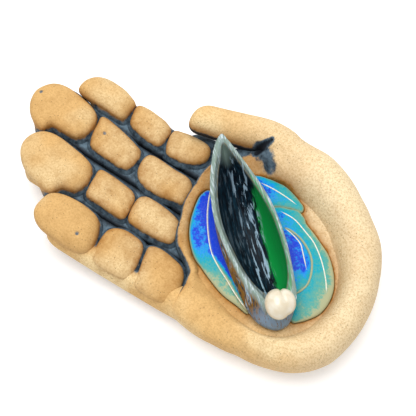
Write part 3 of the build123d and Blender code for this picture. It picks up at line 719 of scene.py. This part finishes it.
def thumbPiece(material):
    # An oval across X at every place along the thumb's line, which closes in a round tip
    look = thumbLook
    x, size = roundedEnd(look["root"], look["tipStart"], look["tipEnd"], look["counts"], look["tipPower"],
                         look["smallest"])
    middleY, middleZ, halfWidth, halfHeight = thumbSection(x)
    scale = size * (1 - look["shrink"] * smoothStep(*look["shrinkRange"], x))
    phase = anglesRound(look["around"])
    sine, cosine = np.sin(phase), np.cos(phase)
    rings = sections(x, middleY, halfWidth * scale, cosine, middleZ, halfHeight * scale, sine)
    outward = rings - np.stack([x, middleY, middleZ], 1)[:, None]
    rings = rings + look["uneven"] * handPressed(rings, 22.0, 11)[..., None] * outward
    # The stain lies under the thumb and laps a little way up the side that faces the palm
    byHeight, bySide = look["stain"]
    low = smoothStep(*byHeight, sine + wanderOf(rings, look["wander"])) * smoothStep(*bySide, cosine)
    reach = smoothStep(*look["stainRange"], x)[:, None]
    crease, black, carve = creaseMasks(rings)
    rings = rings - look["carve"] * carve[..., None] * outward
    # Also painted on the underside: toasting with painted shade on the lower half and the side that faces the
    # palm, and black painted shade at the very bottom
    masks = dict(stain=np.maximum(low * reach, crease),
                 toast_and_shade=smoothStep(*look["toast_and_shade"][0], sine) * smoothStep(*look["toast_and_shade"][1], cosine) * reach,
                 pooled_stain_and_shade=np.maximum(smoothStep(*look["pooled_stain_and_shade"], sine) * low * reach, black))
    ringsPiece("thumb", rings, masks, material, "stoneware", "thumb")


palmLook = dict(
    middle=(43.0, -7.5), around=440,
    # Outline of the belly: angle, distance from the middle
    outline=[(0, 59.5), (20.2, 58.1), (39.1, 58.6), (52.7, 57.8), (64.7, 58.6), (79.8, 62.0), (91.1, 64.8),
        (101.4, 65.8), (108, 66.3), (113, 64.6), (118, 61.8), (122, 61.0), (127, 61.0), (134, 61.5),
        (140, 62.0), (146, 61.0), (151, 57.5), (159.4, 54.5), (165, 52.0), (179.4, 49.0), (186, 46.5),
        (197, 45.5), (206, 44.0), (214, 40.5), (221, 38.5), (228, 38.5), (236, 43.0), (243.4, 51.5),
        (248, 53.6), (253.4, 52.7), (272.3, 50.5), (287.9, 51.0), (304.8, 56.0), (314.9, 59.5), (324.2, 61.6),
        (334, 62.5), (344.4, 61.1)],
    # Height and inset of the crest of the rim
    crest=[(0, 28.6), (30, 29.8), (60, 30.8), (90, 31.0), (108, 30.0), (116, 28.8), (121, 22.5), (130, 20.4),
        (143, 20.2), (152, 22.0), (180, 22.3), (210, 22.2), (235, 22.2), (250, 23.0), (270, 23.8),
        (300, 25.0), (330, 27.0)],
    inset=[(0, 9.5), (40, 10.5), (70, 12.5), (100, 12), (112, 10), (120, 7), (126, 3.0), (150, 2.8),
        (180, 2.4), (215, 2.4), (240, 4), (255, 9), (275, 9.5), (300, 10), (330, 9.5)],
    # Where the flat round the petals ends and the wall of the bowl starts to rise
    flat=[(0, 40.5), (20, 37.5), (40, 34.5), (70, 34.5), (95, 36), (110, 38.5), (120, 41.5), (135, 45),
        (150, 46), (180, 41.5), (210, 35.5), (240, 33), (262, 32.5), (285, 36.5), (300, 41), (315, 43.5),
        (330, 43.5), (345, 42)],
    belly=17.0, clay=19.4, pocket=17.4, foot=0.80, hollow=0.54, hollowTop=0.49, hollowHeight=8.5,
    # How softly the tables above run into each other, in degrees
    blurs=dict(outline=1.6, crest=2.4, inset=3.0, flat=4.0), leastWall=2.5,
    # The front end of the thumb mound leans forward by so many degrees between these distances and angles
    lean=6.0, leanOut=(43, 52), leanIn=(53, 62), leanTurn=(104, 112), uneven=0.35, carve=2.0,
    # The roll at the thumb's heel is drawn onto the thumb's own section behind this line
    heelLine=([13, 27], [44.0, 37.0]), heelInset=0.06, heelInsetRange=(20, 14), heelRange=(40, 17),
    heelBeside=(-3, 3), heelLowest=6, shellSeat=[(-22.0, 0.0), (24.0, 1.0)], petalEdge=(0.5, -0.3),
    shellEdge=(10, 8), front=((119, 125), (243, 236)), frontStain=(22.6, 20.6),
    webStain=np.array([(-24.0, 32.0), (-8.0, 34.5), (2.2, 37.0), (9.0, 39.5), (15.5, 36.5), (20.0, 33.5)]),
    ledgeTurn=((126, 132), (152, 147)),
    deepStain=np.array([(-14.0, 38.5), (-3.8, 41.5), (5.9, 44.5), (10.0, 43.2)]),
    webReach=(6.0, 0.5), webTop=(37, 34), ledgeReach=(53, 56), deepReach=(3.0, 1.0), deepFade=(4.2, 1.6),
    deepShare=0.15, wander=((1.6, 7.0, 9), (0.8, 2.5, 10)), deepWander=0.4,
    # Toasting with painted shade: how strong and how far from the petals, then along the front
    halo=((0.9, 1.8), (0.55, 5.0)), haloWander=0.4, frontToast=0.75, frontOut=(36, 42),
)


def roundPalm(name, angle):
    # A table's values read at every angle and softened by a circular blur
    degrees, values = np.array(palmLook[name]).T
    raw = np.interp(np.degrees(angle), degrees, values, period=360)
    offset = np.degrees(angle)
    offset = np.minimum(offset, 360 - offset)
    kernel = np.exp(-0.5 * (offset / palmLook["blurs"][name]) ** 2)
    kernel /= kernel.sum()
    return np.fft.irfft(np.fft.rfft(raw) * np.fft.rfft(kernel), len(raw))


def palmRings(angle):
    # Distance from the middle and height, row by row: flat, a rounded wall up to the crest, over the rim to
    # the belly, in to the foot, across the foot ring, up the hollow and in to its middle
    look = palmLook
    belly, clay, foot = look["belly"], look["clay"], look["foot"]
    hollow, hollowTop = look["hollow"], look["hollowTop"]
    outline, crest, inset = (roundPalm(name, angle) for name in ("outline", "crest", "inset"))
    top = outline - inset
    bowl = np.minimum(roundPalm("flat", angle), top - look["leastWall"])
    middle = np.linspace(0.02, 1, 84)[:, None]
    share = np.linspace(0, 1, 46)[1:, None] ** 1.3
    wall = bowl + (top - bowl) * share
    degrees = np.degrees(angle)
    lean = look["lean"] * smoothStep(*look["leanOut"], wall) * (1 - 0.6 * smoothStep(*look["leanIn"], wall))
    leaning = degrees[None, :] - lean * smoothStep(*look["leanTurn"], degrees)
    ridge = np.interp(leaning, degrees, crest, period=360)
    over, down = (np.linspace(0, quarterTurn, count)[1:, None] for count in (26, 22))
    across, up = (np.linspace(0, 1, count)[1:, None] for count in (14, 8))
    inward = np.linspace(1, 0.02, 14)[1:, None]
    rows = [
        (middle * bowl, clay),
        (wall, clay + (ridge - clay) * (1 - (1 - share) ** 2.1) ** 0.9),
        (top + inset * np.sin(over), belly + (crest - belly) * np.cos(over)),
        (outline * (foot + (1 - foot) * np.cos(down) ** 0.8), belly * (1 - np.sin(down))),
        (outline * (foot + (hollow - foot) * across), 0),
        (outline * (hollow + (hollowTop - hollow) * up), look["hollowHeight"] * up),
        (outline * hollowTop * inward, look["hollowHeight"]),
    ]
    radius = np.concatenate([away for away, _ in rows])
    height = np.concatenate([np.broadcast_to(high, away.shape) for away, high in rows])
    part = np.concatenate([np.full((len(away), 1), k) for k, (away, _) in enumerate(rows)])
    return radius, height, part


def palmPiece(material):
    # Rows round a middle, drawn onto the thumb at its heel and let down where the petals and the shell lie
    look = palmLook
    angle = anglesRound(look["around"])
    degrees = np.degrees(angle)
    radius, height, part = palmRings(angle)
    inCup, onTop = part < 2, part < 3
    x = look["middle"][0] + radius * np.cos(angle)
    y = look["middle"][1] + radius * np.sin(angle)
    rings = np.stack([x, y, height], -1)
    rings[..., 2] += onTop * look["uneven"] * handPressed(rings, 30.0, 5) * smoothStep(0, 30, radius)
    middleY, middleZ, halfWidth, halfHeight = thumbSection(x)
    dy, dz = (y - middleY) / halfWidth, (rings[..., 2] - middleZ) / halfHeight
    norm = np.maximum(np.hypot(dy, dz), 1e-6)
    wanted = 1 - look["heelInset"] * smoothStep(*look["heelInsetRange"], x)
    beside = y - np.interp(x, *look["heelLine"])
    weight = smoothStep(*look["heelRange"], x) * smoothStep(*look["heelBeside"], beside)
    weight = weight * (rings[..., 2] > look["heelLowest"])
    blend = (norm + (wanted - norm) * weight) / norm
    rings[..., 1] = middleY + halfWidth * dy * blend
    rings[..., 2] = middleZ + halfHeight * dz * blend
    # The petals and the shell lie in a pocket with a crisp edge
    flat = rings[..., :2]
    near = np.min([outlineDistance(flat, fromShell(ringOutlines[name])[::3])
                   for name in ("leftOuter", "crest", "rightOuter")], axis=0)
    under = lineDistance(flat, fromShell(look["shellSeat"]))
    inPocket = inCup * np.maximum(smoothStep(*look["petalEdge"], near), smoothStep(*look["shellEdge"], under))
    rings[..., 2] += (look["pocket"] - rings[..., 2]) * inPocket
    # The front wall is stained, and so are the web and the ledge under the thumb
    front = window(*look["front"], degrees)
    stain = ~inCup * front * smoothStep(*look["frontStain"], rings[..., 2])
    wander = wanderOf(rings, look["wander"])
    web = lineDistance(flat, look["webStain"]) + wander
    stain = np.maximum(stain, smoothStep(*look["webReach"], web) * smoothStep(*look["webTop"], rings[..., 2]))
    ledge = smoothStep(*look["ledgeReach"], radius) * window(*look["ledgeTurn"], degrees)
    web = lineDistance(flat, look["deepStain"]) + look["deepWander"] * wander
    stain = np.max([stain, ledge, smoothStep(*look["deepReach"], web)], axis=0)
    # Black near the line under the thumb: pooled stain and painted shade
    pooled_stain_and_shade = np.maximum(stain * look["deepShare"], smoothStep(*look["deepFade"], web) * stain)
    crease, black, carve = creaseMasks(rings)
    rings[..., 2] -= look["carve"] * carve * onTop
    # Toasting with painted shade round the petals, partly their painted contact shadow, and along the front
    halo = np.maximum(near - look["haloWander"] * handPressed(rings, 6.0, 8), 0)
    toast_and_shade = sum(strength * np.exp(-halo / reach) for strength, reach in look["halo"])
    toast_and_shade = onTop * np.maximum(toast_and_shade, look["frontToast"] * front * smoothStep(*look["frontOut"], radius))
    masks = dict(stain=np.maximum(stain, crease), toast_and_shade=toast_and_shade, pooled_stain_and_shade=np.maximum(pooled_stain_and_shade, black))
    ringsPiece("palm", rings, masks, material, "stoneware", "palm")


webLook = dict(middle=(-10.5, 31.0, 11.5), reach=(15.5, 4.6, 5.6), uneven=0.3, stain=1.0, pooled_stain_and_shade=0.3)


def webPiece(material):
    # An ellipsoid of stained clay that fills the corner between the thumb and the index finger
    rings = np.array(webLook["middle"]) + ballRays(30, 60) * webLook["reach"]
    rings = rings + webLook["uneven"] * handPressed(rings, 8.0, 15)[..., None]
    # Its black share is pooled stain and painted shade in the corner under the thumb
    masks = dict(stain=webLook["stain"], toast_and_shade=0.0, pooled_stain_and_shade=webLook["pooled_stain_and_shade"])
    ringsPiece("thumbWeb", rings, masks, material, "stoneware", "palm")


webPiece(stoneware)
palmPiece(stoneware)
thumbPiece(stoneware)
print("palm and thumb shaped")


# Where each finger's top starts, how long its three flats are, and its two sides with their slopes
fingerLook = dict(
    index=dict(root=-9.0, cells=(24.4, 23.0, 28.6), low=11.4, high=28.4, lowSlope=0.0, highSlope=0.0),
    middle=dict(root=-6.5, cells=(31.0, 30.5, 37.0), low=-9.4, high=11.0, lowSlope=0.0, highSlope=0.0),
    ring=dict(root=1.0, cells=(27.5, 25.0, 41.0), low=-30.2, high=-9.8, lowSlope=0.055, highSlope=0.0),
    little=dict(root=18.5, cells=(26.5, 21.5, 38.0), low=-55.8, high=-30.6, lowSlope=0.035, highSlope=0.055),
)
coilLook = dict(
    rootTop=15.0, rootUnder=3.0, tilts=(1.0, 3.5, 6.0), tipThickness=11.0, setback=7.5, slopeFrom=20.0,
    squareness=0.17, overlap=10.0, tipLength=5.0, tipPower=0.5, smallest=0.05, counts=(90, 15), around=96,
    leastWidth=0.45, tallSquareness=2.2, uneven=0.35,
    # The little finger's outer side is the roll below, so its coil is narrower by so much
    rollWidth=7.5,
    # How far from the end the stain starts, on the other fingers and on the index finger
    bareTips=(10, -2), bareFade=6,
    # By depth under the top, by distance from a side, from the middle and from the end
    topStain=(4.5, 1.5), stainDepth=(8.5, 5.5), sideStain=(2, 0.5), innerStain=(0, 3), innerStart=(1, 5),
    deepReach=(3.0, 0.6), deepStrength=0.9, toastDepth=(9, 3), toastStrength=0.35,
)


def coilTop(finger, x):
    # Height of a finger's top, which has three flats that rise towards the tip
    look = fingerLook[finger]
    corners = [(look["root"], coilLook["rootTop"])]
    for cell, tilt in zip(look["cells"], np.radians(coilLook["tilts"])):
        corners.append((corners[-1][0] - cell * math.cos(tilt), corners[-1][1] + cell * math.sin(tilt)))
    return np.interp(x, *np.array(corners[::-1]).T)


rollLook = dict(
    start=34.0, end=-54.0, tipLength=9.0, tipPower=0.6, smallest=0.04, counts=(120, 15), around=80,
    middle=-48.6, halfWidth=8.2, slant=0.035, rise=4.4, heelRise=2.0, under=2.6, tipUnder=7.5,
    underStart=18.5, underLength=78, grooves=(-5.0, -29.6), grooveDepth=2.6, grooveWidth=1.8, uneven=0.25,
    heelRange=(6, 30), slantFrom=20, leastWidth=0.35, grooveSlant=0.10, grooveFrom=-48, fade=(-55.5, -46),
    # Across a groove, then along it
    stain=((2.4, 0.6), (-52.5, -47)), pooled_stain_and_shade=((1.4, 0.2), (-50, -45)), toast_and_shade=(5.5, 1.0), toastStrength=0.8,
    # The roll's underside is painted darker as shade
    underShade=(0, -0.6), underStrength=0.35,
)


def rollPiece(material):
    # The outer side of the little finger: a plain roll that its pads grow out of, with the grooves fading on
    # it. Each section is an oval between the finger's top and an underside that rises to the tip
    look = rollLook
    x, size = roundedEnd(look["start"], look["end"] + look["tipLength"], look["end"], look["counts"],
                         look["tipPower"], look["smallest"])
    top = coilTop("little", x) + look["rise"] + look["heelRise"] * smoothStep(*look["heelRange"], x)
    share = np.clip((look["underStart"] - x) / look["underLength"], 0, 1)
    bottom = look["under"] + look["tipUnder"] * share**2
    phase = anglesRound(look["around"])
    middle = look["middle"] + look["slant"] * (x - look["slantFrom"])
    halfWidth = look["halfWidth"] * (look["leastWidth"] + (1 - look["leastWidth"]) * size)
    rings = sections(x, middle, halfWidth, np.cos(phase),
                     (top + bottom) / 2, (top - bottom) / 2 * size, np.sin(phase))
    y = rings[..., 1]
    slanted = rings[..., 0] - look["grooveSlant"] * (y - look["grooveFrom"])
    away = np.min([np.abs(slanted - groove) for groove in look["grooves"]], axis=0)
    above = np.sin(phase) > 0
    fade = smoothStep(*look["fade"], y) * above
    rings[..., 2] -= look["grooveDepth"] * bell(away, look["grooveWidth"]) * fade
    rings[..., 2] += look["uneven"] * handPressed(rings, 16.0, 17)
    masks = {mask: smoothStep(*look[mask][0], away) * smoothStep(*look[mask][1], y) * above
             for mask in ("stain", "pooled_stain_and_shade")}
    # Toasting along the grooves, painted shade on the underside, and black in the grooves that is pooled
    # stain and painted shade
    masks["toast_and_shade"] = (look["toastStrength"] * smoothStep(*look["toast_and_shade"], away) * fade
                      + look["underStrength"] * smoothStep(*look["underShade"], np.sin(phase)))
    ringsPiece("littleFingerRoll", rings, masks, material, "stoneware", "little_finger_coil")


def coilPiece(finger, material):
    # A flattened roll carried along the finger: each section is a squared oval between its two sides
    look, coil = fingerLook[finger], coilLook
    end = look["root"] - np.cos(np.radians(coil["tilts"])) @ look["cells"] + coil["setback"]
    x, size = roundedEnd(look["root"] + coil["overlap"], end + coil["tipLength"], end, coil["counts"],
                         coil["tipPower"], coil["smallest"])
    top = coilTop(finger, x)
    endUnder = coilTop(finger, end) - coil["tipThickness"]
    share = np.clip((look["root"] - x) / (look["root"] - end), 0, 1)
    bottom = coil["rootUnder"] + (endUnder - coil["rootUnder"]) * share**2
    low = look["low"] + look["lowSlope"] * (x - coil["slopeFrom"]) + coil["rollWidth"] * (finger == "little")
    high = look["high"] + look["highSlope"] * (x - coil["slopeFrom"])
    phase = anglesRound(coil["around"])
    across = np.sign(np.cos(phase)) * np.abs(np.cos(phase)) ** coil["squareness"]
    tall = np.sign(np.sin(phase)) * np.abs(np.sin(phase)) ** (coil["tallSquareness"] * coil["squareness"])
    width = coil["leastWidth"] + (1 - coil["leastWidth"]) * size
    rings = sections(x, (low + high) / 2, (high - low) / 2 * width, across,
                     (top + bottom) / 2, (top - bottom) / 2 * size, tall)
    y, depth = rings[..., 1], top[:, None] - rings[..., 2]
    rings[..., 2] += coil["uneven"] * handPressed(rings, 9.0, len(finger))
    # The stain lies on top and in the gaps between fingers, and stops a little way over an outer edge
    low, high = low[:, None], high[:, None]
    gap = np.max([smoothStep(*coil["topStain"], depth),
                  (finger != "index") * smoothStep(*coil["sideStain"], high - y),
                  (finger != "little") * smoothStep(*coil["sideStain"], y - low)], axis=0)
    inner = smoothStep(*coil["innerStain"], y - (low + high) / 2) * (finger != "index")
    inner = inner * smoothStep(*coil["innerStart"], x - end)[:, None]
    bare = smoothStep(0, coil["bareFade"], x - end - coil["bareTips"][finger == "index"])[:, None]
    stain = gap * np.maximum(bare, inner) * smoothStep(*coil["stainDepth"], depth)
    # Near the sides in the gaps the stain turns black: pooled stain and painted shade
    side = smoothStep(*coil["deepReach"], np.minimum(np.abs(y - low), np.abs(y - high)))
    masks = dict(stain=stain, toast_and_shade=coil["toastStrength"] * smoothStep(*coil["toastDepth"], depth),
                 pooled_stain_and_shade=coil["deepStrength"] * side * stain)
    ringsPiece(finger + "FingerCoil", rings, masks, material, "stained_stoneware", finger + "_finger_coil")


padOutlines = dict(
    index_tip=[(-85.5, 16), (-86.5, 21), (-84.5, 25.5), (-80.5, 29), (-75, 30.5), (-68, 30.5), (-61.5, 29),
        (-57.5, 27), (-57.3, 22.5), (-58.5, 15.8), (-69.5, 15.3), (-77, 15.2)],
    index_middle=[(-56.5, 27.5), (-51, 29), (-44, 28.7), (-38.5, 27.8), (-34.2, 25.5), (-33.6, 21),
        (-34.5, 14.5), (-40.5, 13.6), (-47, 14.4), (-53.5, 16.3), (-56, 21.5)],
    index_base=[(-33, 26), (-28, 28.2), (-21.5, 29.5), (-13.5, 29), (-10, 25), (-10, 20), (-13.5, 16),
        (-18.5, 13.8), (-24.5, 12.8), (-29.5, 13.5), (-32.5, 19)],
    middle_tip=[(-99.6, -7.5), (-103.0, -1.5), (-103.3, 5), (-98.8, 12), (-92, 14.6), (-81.5, 14),
        (-73.5, 12.3), (-69, 8.5), (-67.8, 1.5), (-71, -6), (-79.5, -7.6), (-85, -8.2), (-88.5, -12.6),
        (-94, -11.6)],
    middle_middle=[(-67.6, 12), (-58, 11.6), (-44.5, 8.6), (-40.2, 6.5), (-38.8, 1.5), (-41, -6),
        (-50.5, -6.8), (-61.5, -6), (-65.3, -2.5), (-67.5, 6)],
    middle_base=[(-36.8, 6.5), (-33, 8.6), (-21, 8.2), (-12, 8), (-7.6, 5), (-6, -0.5), (-6.6, -6),
        (-12, -7.4), (-21, -9), (-29.5, -8.2), (-34.4, -5), (-36.8, 0)],
    ring_tip=[(-88, -31), (-91.2, -25), (-90.3, -18), (-85, -12.6), (-76.5, -11.2), (-60.5, -13),
        (-54.5, -16), (-52, -24), (-54.6, -31), (-60.5, -33.4), (-64, -39), (-72, -38.8), (-81.5, -36)],
    ring_middle=[(-51.6, -14), (-47.5, -12.7), (-37, -13.2), (-30, -14.5), (-27, -19), (-26.2, -28.8),
        (-32, -30.2), (-40.5, -30), (-48.5, -29.6), (-50.6, -25), (-51.4, -18.5)],
    ring_base=[(-25, -13.2), (-20.5, -12), (-9.5, -12.6), (-2, -15), (0.9, -20), (0.9, -26.5), (-4.8, -28.8),
        (-16.5, -29.4), (-23.5, -28.7), (-26, -23.5), (-26.8, -16.5)],
    little_tip=[(-63.5, -53), (-65, -47), (-63, -39.8), (-56, -36), (-45.5, -35), (-37, -36.3), (-32.6, -41),
        (-29.8, -49), (-30.6, -54.8), (-37, -58), (-47, -58.3), (-57.5, -57.2)],
    little_middle=[(-28, -37), (-21.5, -33.6), (-13.5, -33.8), (-9.5, -36), (-7, -42.5), (-5.6, -51),
        (-8, -55.6), (-15, -56.8), (-23.5, -56.8), (-27.6, -53), (-29.4, -43)],
    little_base=[(-6.8, -33.8), (-0.5, -32), (11, -33.6), (15.5, -37), (18, -43), (18.6, -50), (14, -55.4),
        (4, -56.4), (-2, -54.8), (-4, -48), (-6.8, -38.5)],
)
padLook = dict(
    height=6.3, tipHeight=9.4, sink=1.2, count=150, levels=34, soft=0.80, bulge=0.30, spine=0.8,
    riseSoft=0.85, footRise=0.16,
    # How far the foot spreads on its first three rings, and which way at a groove and away from one
    flare=[2.2, 1.5, 0.5], grooveFlare=1.1, plainFlare=-0.6, uneven=0.45,
    wander=((0.8, 5.0, 7), (0.5, 2.2, 40)), outerSides=dict(index=(30, 26), little=(-54, -48)),
    pits=[(-99.7, 3.1), (-60.4, 3.7), (-38.3, -50.8)], pitDepth=0.9, pitRadius=1.0, pitStain=(1.7, 0.5),
    pitStrength=0.75,
    # By height over the coil: stain, toasting with painted shade, and black that is pooled stain and painted
    # shade. The least toasting, on the crown and away from a groove
    stain=(4.2, 0.9), toast_and_shade=(7.6, 2.6), pooled_stain_and_shade=(1.4, 0.2), deepStrength=0.45, crownToast=0.20, awayToast=0.30,
)


def grooveSides(finger, joint, outline):
    # 1 on the sides of a pad that face a groove, 0 at the fingertip and on the hand's outer sides
    x, y = outline.T
    groove = smoothStep(x.min() + 5, x.min() + 16, x) if joint == "tip" else np.ones(len(x))
    if finger == "ring" and joint == "tip":
        groove = groove * np.maximum(smoothStep(-74, -64, x), smoothStep(-30, -22, y))
    if finger in padLook["outerSides"]:
        groove = groove * smoothStep(*padLook["outerSides"][finger], y)
    return groove


def padPiece(finger, joint, seed, material):
    # A pillow of clay: the outline shrinks onto the pad's spine as the crown rises over it
    look = padLook
    outline = evenRing(padOutlines[finger + "_" + joint], look["count"])
    centre = outline.mean(0)
    spread = outline - centre
    axis = np.linalg.eigh(spread.T @ spread)[1][:, -1]
    reach = spread @ axis
    width = np.ptp(spread @ np.array([-axis[1], axis[0]]))
    spine = max((np.ptp(reach) - width) / 2, 0) * look["spine"]
    spineFoot = centre + np.clip(reach, -spine, spine)[:, None] * axis
    angle = np.linspace(0, quarterTurn - 0.01, look["levels"])
    full = look["tipHeight"] if joint == "tip" else look["height"]
    crown = look["bulge"] + (1 - look["bulge"]) * np.sin(angle) ** look["riseSoft"]
    rise = np.concatenate([[-look["sink"], 0.0, look["footRise"] * full], full * crown])[:, None]
    share = np.concatenate([np.ones(3), np.cos(angle) ** look["soft"]])[:, None, None]
    flare = np.concatenate([look["flare"], np.zeros(len(angle))])[:, None, None]
    groove = grooveSides(finger, joint, outline)
    sideFlare = look["grooveFlare"] * groove + look["plainFlare"] * (1 - groove)
    outward = spread / np.linalg.norm(spread, axis=1)[:, None]
    flat = spineFoot + (outline - spineFoot) * share + flare * sideFlare[:, None] * outward
    seat = coilTop(finger, flat[..., 0])
    rings = np.concatenate([flat, (seat + rise)[..., None]], -1)
    rings[..., 2] += look["uneven"] * handPressed(rings, 12.0, seed) * (rise > 1)
    pit = np.min([np.linalg.norm(rings[..., :2] - place, axis=-1) for place in look["pits"]], axis=0)
    rings[..., 2] -= look["pitDepth"] * bell(pit, look["pitRadius"]) * (rise > 2)
    # Stain creeps up the sides that face a groove, and the clay over it gets toasting and painted shade,
    # darker towards the foot
    high = rings[..., 2] - seat + wanderOf(rings, look["wander"], seed)
    pitted = look["pitStrength"] * smoothStep(*look["pitStain"], pit)
    toast_and_shade = smoothStep(*look["toast_and_shade"], high) * (look["awayToast"] + (1 - look["awayToast"]) * groove)
    masks = dict(stain=np.maximum(smoothStep(*look["stain"], high) * groove, pitted),
                 toast_and_shade=look["crownToast"] + (1 - look["crownToast"]) * toast_and_shade,
                 pooled_stain_and_shade=smoothStep(*look["pooled_stain_and_shade"], high) * groove * look["deepStrength"])
    name = finger + joint.capitalize() + "Pad"
    ringsPiece(name, rings, masks, material, "stoneware", f"{finger}_{joint}_pad")


rollPiece(stoneware)
seed = 20
for finger in fingerLook:
    coilPiece(finger, stainedStoneware)
    for joint in ("base", "middle", "tip"):
        seed += 1
        padPiece(finger, joint, seed, stoneware)
print("fingers pressed")


stageLook = dict(
    finish={"Base Color": (0.86, 0.86, 0.87, 1), "Roughness": 0.9, "Emission Color": (1, 1, 1, 1)},
    floorHalf=3.0, floorLift=0.32, white=(1, 1, 1, 1),
    sky=0.62, target=(6.35, -0.34, 20.0), distance=700.0, azimuth=33.5, elevation=65.0, lens=121.15,
    sensor=36.0, clip=(0.05, 20), key=dict(place=(-0.16, 0.08, 1.0), size=0.9, power=8.5),
)


def whiteShown(tree):
    # Camera, mirror and see-through rays
    path = put(tree, "LightPath").outputs
    seen = mathOf(tree, "MAXIMUM", path["Is Camera Ray"], path["Is Glossy Ray"])
    return mathOf(tree, "MAXIMUM", seen, path["Is Transmission Ray"])


def floorPiece():
    look, half = stageLook, stageLook["floorHalf"]
    mesh = bpy.data.meshes.new("floor")
    corners = [(-half, -half, 0), (half, -half, 0), (half, half, 0), (-half, half, 0)]
    mesh.from_pydata(corners, [], [(0, 1, 2, 3)])
    floor = bpy.data.objects.new("floor", mesh)
    bpy.context.scene.collection.objects.link(floor)
    material, tree, shader = newMaterial("paleFloor", look["finish"])
    fill(tree, shader, {"Emission Strength": mathOf(tree, "MULTIPLY", whiteShown(tree), look["floorLift"])})
    mesh.materials.append(material)


def aimed(name, data, place, back):
    # A light or camera at a place, looking against the direction back
    thing = bpy.data.objects.new(name, data)
    thing.location = place
    thing.rotation_mode = "QUATERNION"
    thing.rotation_quaternion = Vector(back).to_track_quat("Z", "Y")
    bpy.context.scene.collection.objects.link(thing)
    return thing


floorPiece()
key = stageLook["key"]
keyData = bpy.data.lights.new("key", "AREA")
keyData.shape = "DISK"
keyData.size, keyData.energy = key["size"], key["power"]
aimed("key", keyData, key["place"], key["place"])

# White to the camera and dimmer as a light
world = bpy.data.worlds.new("studio")
bpy.context.scene.world = world
world.use_nodes = True
tree, sky = world.node_tree, stageLook["sky"]
strength = mathOf(tree, "ADD", mathOf(tree, "MULTIPLY", whiteShown(tree), 1 - sky), sky)
fill(tree, tree.nodes["Background"], {0: stageLook["white"], 1: strength})

turn, lift = math.radians(stageLook["azimuth"]), math.radians(stageLook["elevation"])
back = Vector((math.sin(turn) * math.cos(lift), -math.cos(turn) * math.cos(lift), math.sin(lift)))
place = (Vector(stageLook["target"]) + back * stageLook["distance"]) * millimetre
camera = aimed("camera", bpy.data.cameras.new("camera"), place, back)
camera.data.sensor_width, camera.data.lens = stageLook["sensor"], stageLook["lens"]
camera.data.clip_start, camera.data.clip_end = stageLook["clip"]
bpy.context.scene.camera = camera
bpy.context.scene.view_settings.view_transform = "Standard"

print("stage ready")
